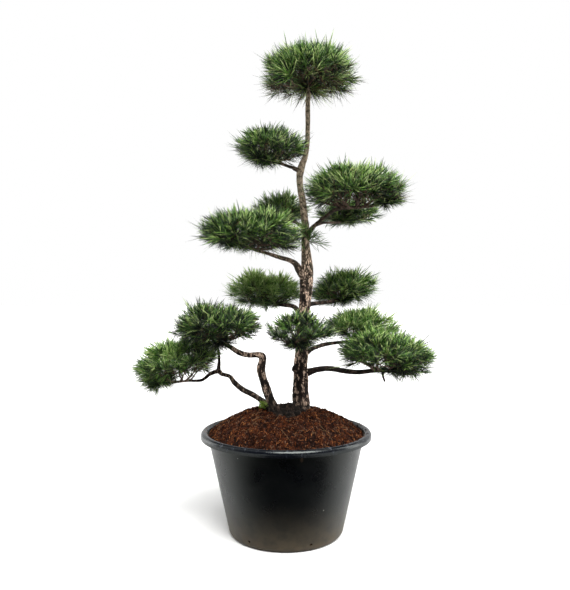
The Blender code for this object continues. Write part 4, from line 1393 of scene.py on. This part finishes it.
# %% Needle builder
NEEDLE_LENGTH = 0.090
NEEDLE_RADIUS = 0.00112
NEEDLE_KNEE = 0.66  # the middle ring's place along a curved needle
BUNDLE = 2  # needles that lie together
OPEN_AT_FOOT, OPEN_AT_BUD = 76.0, 14.0  # degrees between a needle and its shoot
STRAY_SHARE, STRAY_LIMIT = 0.09, 1.32  # how many needles may pass a cloud's outline, how far
OUTLINE_POWER = 2.8  # 2 would be an ellipsoid; a larger power is boxier
STAND_PROUD = np.array([0.036, 0.018, 0.040])  # metres that needles may pass the frame's box
ROOM_LOW = np.array(cad_box[0]) - STAND_PROUD
ROOM_HIGH = np.array(cad_box[1]) + STAND_PROUD


def needle_frames(way):
    """Two directions across each needle."""
    helper = np.where(np.abs(way[:, 2:3]) > 0.8, [[1.0, 0.0, 0.0]], [[0.0, 0.0, 1.0]])
    side = unit(np.cross(helper, way))
    return side, np.cross(way, side)


def needle_spikes(name, root, way, bend, length, radius, tint, curved=True):
    """Closed three-sided spikes: root (n, 3), way (n, 3), bend (n, 3) at the tip, size (n,)."""
    n = len(root)
    side, up = needle_frames(way)
    turn = np.array([0.0, 2.0, 4.0]) * math.pi / 3
    ring = np.cos(turn)[:, None] * side[:, None] + np.sin(turn)[:, None] * up[:, None]
    foot = root[:, None] + radius[:, None, None] * 0.75 * ring
    tip = root + way * length[:, None] + bend
    rows = [foot]
    if curved:
        half_way = root + way * NEEDLE_KNEE * length[:, None] + NEEDLE_KNEE**2 * bend
        rows.append(half_way[:, None] + radius[:, None, None] * ring)
    rows.append(tip[:, None])
    points = np.concatenate(rows, 1)
    stride = (np.arange(n) * points.shape[1])[:, None, None]
    last = points.shape[1] - 1
    below = last - 3
    tris = np.array([[0, 2, 1]] + [[below + k, below + (k + 1) % 3, last] for k in range(3)])
    v0 = NEEDLE_KNEE if curved else 0.10
    tri_v = np.array([[0.0, 0.08, 0.08]] + [[v0, v0, 1.0]] * 3)
    tri_u = np.array([[-1.0, 1.0, 0.0]] + [[-1.0, 1.0, 0.0]] * 3)
    middle = (0.02 + 0.96 * np.clip(tint, 0.0, 1.0))[:, None, None]
    faces, uv = [], []
    if curved:
        quads = np.array([[k, (k + 1) % 3, 3 + (k + 1) % 3, 3 + k] for k in range(3)])
        faces.append((quads[None] + stride).reshape(-1, 4))
        quad_v = np.array([[0.05, 0.05, NEEDLE_KNEE, NEEDLE_KNEE]] * 3)
        quad_u = np.array([[-1.0, 1.0, 1.0, -1.0]] * 3)
        uv.append(np.stack(np.broadcast_arrays(middle + 0.008 * quad_u, quad_v), -1).reshape(-1, 2))
    faces.append((tris[None] + stride).reshape(-1, 3))
    uv.append(np.stack(np.broadcast_arrays(middle + 0.008 * tri_u, tri_v), -1).reshape(-1, 2))
    return put_mesh(name, points.reshape(-1, 3), faces, np.concatenate(uv))


def tuft_needles(root, way, bundles, length, shoot=0.024):
    """Root, direction, bend, length and order (0 at the foot, 1 at the bud) of every needle.

    Bundle k of a tuft leaves the shoot at share k / bundles of its length, turned by k
    golden angles, and opened from the shoot by an angle that falls from foot to bud. The
    needles of a bundle share all that, and fan apart a little.
    """
    tufts = len(root)
    order = (np.arange(bundles) + 0.5)[None, :] / bundles
    order = np.clip(order + rng.uniform(-0.08, 0.08, (tufts, bundles)), 0.0, 1.0)
    turn = np.arange(bundles)[None, :] * GOLDEN_TURN + 6.28 * rng.random((tufts, 1))
    turn = turn + rng.normal(0.0, 0.25, (tufts, bundles))
    opening = blend(OPEN_AT_FOOT, OPEN_AT_BUD, order**0.8)
    opening = np.radians(opening + rng.normal(0.0, 9.0, (tufts, bundles)))
    size = length * blend(0.82, 1.0, order) * rng.uniform(0.78, 1.08, (tufts, bundles))
    size = size * np.where(rng.random((tufts, bundles)) < 0.08, 1.36, 1.0)
    turn, opening, order, size = (np.repeat(row, BUNDLE, 1) for row in (turn, opening, order, size))
    side, up = needle_frames(way)
    out = np.cos(turn)[..., None] * side[:, None] + np.sin(turn)[..., None] * up[:, None]
    axis = way[:, None]
    needle_way = unit(axis * np.cos(opening)[..., None] + out * np.sin(opening)[..., None])
    bend = (axis - needle_way * (needle_way * axis).sum(-1, keepdims=True)) * 0.16
    shake = rng.normal(0.0, 0.045, (tufts, bundles, 3))
    bend = (bend + np.repeat(shake, BUNDLE, 1)) * size[..., None]
    bend[..., 2] -= 0.03 * size
    needle_way = unit(needle_way + rng.normal(0.0, 0.020, needle_way.shape))
    needle_root = root[:, None] + axis * (shoot * order)[..., None] + 0.0008 * out
    size = size * rng.uniform(0.90, 1.0, size.shape)
    return (needle_root.reshape(-1, 3), needle_way.reshape(-1, 3), bend.reshape(-1, 3),
            size.ravel(), order.ravel())


def keep_inside(root, way, size, half, rise, drop, limit):
    """Shortens needles whose tips pass the cloud's outline scaled by limit.

    The outline is a rounded box: for a point on it, the shares of the way out along the
    three axes, each raised to OUTLINE_POWER, add up to one. A few stray bundles may pass it.
    """
    def share(points):
        x, y = np.abs(points[:, 0] / half[0]), np.abs(points[:, 1] / half[1])
        z = np.abs(points[:, 2] / np.where(points[:, 2] > 0.0, rise, drop * 1.3))
        return (x**OUTLINE_POWER + y**OUTLINE_POWER + z**OUTLINE_POWER) ** (1 / OUTLINE_POWER)

    at_root, at_tip = share(root), share(root + way * size[:, None])
    allowed = limit * rng.uniform(0.76, 1.06, len(size) // BUNDLE)
    stray = rng.random(len(allowed)) < STRAY_SHARE
    allowed = np.repeat(np.where(stray, STRAY_LIMIT, allowed), BUNDLE)
    cut = (allowed - at_root) / np.maximum(at_tip - at_root, 1e-3)
    return size * np.where(at_tip > allowed, np.clip(cut, 0.50, 1.0), 1.0)


def clip_to_room(root, way, bend, size):
    """Shortens needles whose tips would leave the room the whole tree may fill."""
    tip = root + way * size[:, None] + bend
    room = np.where(tip > root, ROOM_HIGH, ROOM_LOW)
    share = (room - root) / np.where(np.abs(tip - root) > 1e-6, tip - root, 1e-6)
    return size * np.clip(share.min(1), 0.3, 1.0)


print("needle builder ready")

# %% [markdown]
# Now every cloud is grown. Its needles are two pieces, the top layer and the body below, which
# its painted shade makes darker; the limbs and twigs that carry them are gathered into one piece
# each for the whole tree. The tint rises from the underside to the top, as painted shade below
# and painted light above, and from a tuft's foot to its bud; each cloud's whole tint is also set
# lighter or darker as painted light and shade. A few needles low in the cloud have died and
# take the brown end of the scale.

# %% Grow the clouds
# Painted light and shade: each cloud's tint level lightens or darkens all its needles together, so
# a shaded cloud can be set lighter.
USUAL_CLOUD_PAINTED_LIGHT, USUAL_DEAD = 0.68, 0.10
CLOUD_PAINTED_LIGHT = {  # tint of a cloud's best needles, where it is not the usual one
    "pad_middle_left": 1.06, "pad_middle_right": 0.84, "pad_lower_left": 0.82,
    "pad_lower_right_upper": 0.84, "pad_high_left_back": 0.80, "pad_high_right_back": 0.78,
    "pad_crown": 0.76, "pad_high_right": 0.69, "pad_lower_front": 0.50,
    "pad_lower_left_upper": 0.58,
}
BARE = {  # the bare share of a cloud's low middle, where it is not the usual one
    "pad_crown": 0.80, "pad_high_right": 0.35, "pad_lower_left": 0.0, "pad_middle_left": 0.10,
}
DEAD = {"pad_crown": 0.60, "pad_high_right": 0.25}  # share of dead needles low down
LAYERS = (("top", 31, True), ("body", 27, False))  # bundles in a tuft, and whether they curve
needle_pieces, all_limbs, all_twigs = [], [], []
needle_count = triangle_count = 0
for number, (pad, (carrier, centre, half, rise, drop, tilt)) in enumerate(PADS.items()):
    place = (centre, tilt)
    size = NEEDLE_LENGTH * float(np.clip(min(half) / 0.13, 0.80, 1.0))
    bare = BARE.get(pad, USUAL_BARE)
    roots, ways, depth = tuft_places(half, rise, drop, size, 3.0 * number, bare)
    limbs, limb_radius = pad_skeleton(carrier, half, drop, place)
    more = end_tufts(limbs, carrier, place)
    twigs = twig_lines(roots, ways, limbs)
    roots, ways, depth = (np.concatenate(pair) for pair in zip((roots, ways, depth), more))
    all_limbs.append((from_pad(limbs, *place), limb_radius))
    all_twigs.append(from_pad(twigs, *place))
    for layer, count, curved in LAYERS:
        chosen = depth < 0.5 if layer == "top" else depth >= 0.5
        r, w, b, s, order = tuft_needles(roots[chosen], ways[chosen], count, size)
        s = keep_inside(r, w, s, half, rise, drop, 1.03)
        d = np.repeat(depth[chosen], count * BUNDLE)
        mood = np.repeat(rng.normal(0.0, 0.09, int(chosen.sum())), count * BUNDLE)
        own = np.repeat(rng.gamma(0.9, 0.36, len(s) // BUNDLE) - 0.37, BUNDLE)
        # Painted shade and light: the tint falls with depth in the cloud, and each cloud's own
        # level lightens or darkens it as a whole.
        tint = (CLOUD_PAINTED_LIGHT.get(pad, USUAL_CLOUD_PAINTED_LIGHT) - 0.46 * d + 0.16 * order + mood + own
                + rng.normal(0.0, 0.03, len(s)))
        dead_share = 0.012 + DEAD.get(pad, USUAL_DEAD) * np.clip(d - 0.5, 0.0, 1.0)
        dead = rng.random(len(s)) < dead_share
        tint = np.where(dead, rng.uniform(0.0, 0.10, len(s)), np.clip(tint, 0.16, 1.0))
        a = math.radians(tilt)
        turned_back = np.array([[math.cos(a), 0, -math.sin(a)],
                                [0, 1, 0],
                                [math.sin(a), 0, math.cos(a)]])
        r, w, b = from_pad(r, *place), w @ turned_back.T, b @ turned_back.T
        s = clip_to_room(r, w, b, s)
        piece = needle_spikes(f"{pad}_{layer}", r, w, b, s,
                              NEEDLE_RADIUS * rng.uniform(0.8, 1.15, len(s)), tint, curved)
        needle_pieces.append((piece, pad))
        needle_count += len(s)
        triangle_count += len(s) * (10 if curved else 4)
print("needles:", needle_count, "triangles:", triangle_count)

# %% [markdown]
# A needle is a waxy green with a straw-coloured tip and a pale sheath at its foot. One ramp
# along the tint runs from the blue-black of painted shade deep in a cloud to the yellow-green of
# painted light on its top, and its first tenth is the brown of dead needles. Limbs and twigs have
# young bark: thin orange-brown scales that grey with age, too fine to model, so they are noise.

# %% Needle material and twigs
needle_green = make_strand_material("pine_needle", [
    (0.00, (0.180, 0.095, 0.040)), (0.11, (0.080, 0.046, 0.020)), (0.15, (0.003, 0.008, 0.003)),
    (0.36, (0.009, 0.030, 0.005)), (0.56, (0.050, 0.134, 0.018)), (0.76, (0.166, 0.332, 0.052)),
    (0.90, (0.315, 0.500, 0.115)), (1.00, (0.530, 0.650, 0.255))],
    tip=(0.93, (0.250, 0.270, 0.090)), root=(0.06, (0.105, 0.090, 0.050)),
    roughness=0.40, specular=0.34)
for piece, pad in needle_pieces:
    piece.data.materials.append(needle_green)
    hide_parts(pad)
    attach(piece, "root")

limb_lines = np.concatenate([lines for lines, _ in all_limbs])
limb_sizes = np.concatenate([sizes for _, sizes in all_limbs])
limbs = strands("pad_limbs", limb_lines, limb_sizes, rng.random(len(limb_lines)), sides=8)
twig_all = np.concatenate(all_twigs)
twig_size = rng.uniform(0.0012, 0.0020, (len(twig_all), 1)) * np.linspace(1.25, 0.9, 6)[None, :]
twigs = strands("pad_twigs", twig_all, twig_size, rng.random(len(twig_all)), sides=3)
print("limbs:", len(limb_lines), "twigs:", len(twig_all))


def make_twig_bark():
    """Young scaly bark: orange-brown to grey along the tint, with rough noise."""
    m = Nodes("twig_bark")
    place = m.new("ShaderNodeUVMap", uv_map="OFBake").outputs["UV"]
    base = m.ramp(m.split(place, "X"), [(0.0, (0.060, 0.034, 0.024)), (0.5, (0.150, 0.090, 0.062)),
                                        (1.0, (0.300, 0.215, 0.160))])
    flecks = m.span(m.noise(320.0, detail=3.0), 0.42, 0.60, 0.55, 0.0)
    m.colour(m.mix(flecks, base, (0.020, 0.013, 0.010)))
    m.roughness(m.span(m.noise(90.0), 0.3, 0.7, 0.75, 0.9))
    m.set(Specular_IOR_Level=0.25)
    m.bump(m.noise(500.0, detail=3.0), 0.6, 0.001)
    return m.material


twig_bark = make_twig_bark()
for piece in (limbs, twigs):
    piece.data.materials.append(twig_bark)
    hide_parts("trunk_and_branches")
    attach(piece, "root")

# %% [markdown]
# ## Bark material
#
# Old pine bark is grey-brown with pinkish and tan faces where plates have flaked, nearly
# black down in the cracks, and darker and damp towards the soil. The mesh already knows
# where each crack and plate is, so the material reads those values and adds fine noise.

# %% Bark finish


def make_bark():
    """Dark cracks, umber plates, pinkish-tan flaked faces, paler and smoother near the top."""
    m = Nodes("pine_bark")
    crack, plate, pale = m.value("crack"), m.value("plate"), m.value("pale")
    height = m.split(m.object_place(), "Z")
    grain = m.noise(150.0, detail=8.0, roughness=0.70)
    flaked = m.noise(66.0, detail=6.0, roughness=0.64, stretch=(1.0, 1.0, 0.42))
    base = m.ramp(plate, [(0.0, (0.010, 0.007, 0.006)), (0.40, (0.032, 0.021, 0.016)),
                          (0.75, (0.076, 0.048, 0.034)), (1.0, (0.160, 0.106, 0.078))])
    faces = m.maths("MULTIPLY", m.span(flaked, 0.515, 0.550, 0.0, 0.95), pale)
    base = m.mix(faces, base, (0.940, 0.680, 0.510))
    base = m.mix(m.span(flaked, 0.49, 0.45, 0.0, 0.92), base, (0.009, 0.006, 0.005))
    base = m.mix(m.span(grain, 0.50, 0.36, 0.0, 0.7), base, (0.030, 0.020, 0.014))
    young = m.maths("MULTIPLY", m.span(height, SOIL_CROWN + 0.42, SOIL_CROWN + 0.85), pale)
    base = m.mix(m.maths("MULTIPLY", young, m.span(grain, 0.36, 0.58, 0.30, 0.95)), base,
                 (0.450, 0.370, 0.255))
    base = m.mix(m.span(crack, 0.15, 0.85, 0.0, 0.92), base, (0.009, 0.006, 0.004))
    damp = m.span(height, SOIL_CROWN + 0.12, SOIL_CROWN + 0.02)
    patchy = m.maths("MULTIPLY", damp, m.span(m.noise(34.0, detail=6.0), 0.36, 0.54, 0.20, 0.74))
    base = m.mix(patchy, base, (0.0062, 0.0050, 0.0038))
    m.colour(base)
    m.roughness(m.span(grain, 0.3, 0.7, 0.92, 0.76))
    m.set(Specular_IOR_Level=0.2)
    m.bump(grain, 0.9, 0.003)
    return m.material


bark = make_bark()
for piece in wood:
    piece.data.materials.append(bark)
    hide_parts("trunk_and_branches")
    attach(piece, "root")
print("wood dressed")

# %% [markdown]
# ## Small growth
#
# Two short shoots sprout straight from the trunk, and a cushion of bright moss sits at the
# foot of the outer stem. Both are spikes again: needle-sized for the shoots, a few
# millimetres for the moss, whose blades stand on five small heaps that run together.

# %% Sprigs and moss
SPRIGS = {
    "sprig_front": (0.640, (-0.015, -0.028, 0.008), (0.024, 0.022, 0.034)),
    "sprig_right": (0.640, (0.028, 0.000, 0.000), (0.028, 0.018, 0.022)),
}
trunk_line = curve_through(ROUTES["trunk"], 400)
for name, (height, offset, half) in SPRIGS.items():
    on_trunk = trunk_line[np.abs(trunk_line[:, 2] - SOIL_CROWN - height).argmin(), :3]
    middle = on_trunk + np.array(offset)
    out = unit(np.array([offset[0], offset[1], 0.030]))
    shoots = 8
    ways = unit(out[None] + rng.normal(0.0, 0.55, (shoots, 3)))
    roots = on_trunk + 0.6 * np.array(offset) + rng.normal(0.0, 0.014, (shoots, 3))
    r, w, b, s, order = tuft_needles(roots, ways, 16, 0.056, shoot=0.018)
    tint = 0.50 + 0.2 * order + rng.normal(0.0, 0.12, len(s))
    piece = needle_spikes(f"{name}_needles", r, w, b, s, 0.00060 * np.ones(len(s)), tint)
    piece.data.materials.append(needle_green)
    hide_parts(name)
    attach(piece, "root")
    start = np.tile(on_trunk, (shoots, 1))
    shoot_lines = smooth_lines(start, blend(start, roots, 0.5), roots + 0.014 * ways, 6, 0.001)
    sprout = strands(f"{name}_shoots", shoot_lines, np.full((shoots, 6), 0.0016),
                     rng.random(shoots))
    sprout.data.materials.append(twig_bark)
    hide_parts(name)
    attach(sprout, "root")

MOSS_CENTRE = np.array([-0.084, -0.034, SOIL_CROWN + 0.018])
MOSS_HALF = np.array([0.019, 0.015, 0.017])
MOSS_HEAPS = np.array([  # x, y, z and size, as shares of MOSS_HALF
    (-0.35, 0.00, 0.45, 0.65), (0.25, -0.20, -0.05, 0.70), (0.50, 0.05, -0.45, 0.55),
    (-0.60, -0.05, -0.30, 0.45), (0.00, -0.20, 0.20, 0.70)])
MOSS_BLADES = 2600
moss_way = unit(rng.normal(0.0, 1.0, (MOSS_BLADES, 3)) + [0.0, -0.2, 0.5])
moss_heap = MOSS_HEAPS[np.arange(MOSS_BLADES) % len(MOSS_HEAPS)]
moss_root = (MOSS_CENTRE + MOSS_HALF * (moss_heap[:, :3] + moss_way * moss_heap[:, 3:]
                                        * rng.uniform(0.6, 1.0, (MOSS_BLADES, 1))))
moss_size = rng.uniform(0.0030, 0.0055, MOSS_BLADES)
moss_blade = unit(moss_way + rng.normal(0.0, 0.4, moss_way.shape))
moss = needle_spikes("moss_cushion", moss_root, moss_blade,
                     rng.normal(0.0, 0.0008, (MOSS_BLADES, 3)), moss_size,
                     np.full(MOSS_BLADES, 0.00042), rng.random(MOSS_BLADES), curved=False)
moss.data.materials.append(make_strand_material("moss_green", [
    (0.0, (0.090, 0.170, 0.020)), (0.6, (0.230, 0.370, 0.045)), (1.0, (0.420, 0.560, 0.110))],
    roughness=0.7, specular=0.25))
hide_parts("moss_patch")
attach(moss, "root")
print("sprigs and moss done")
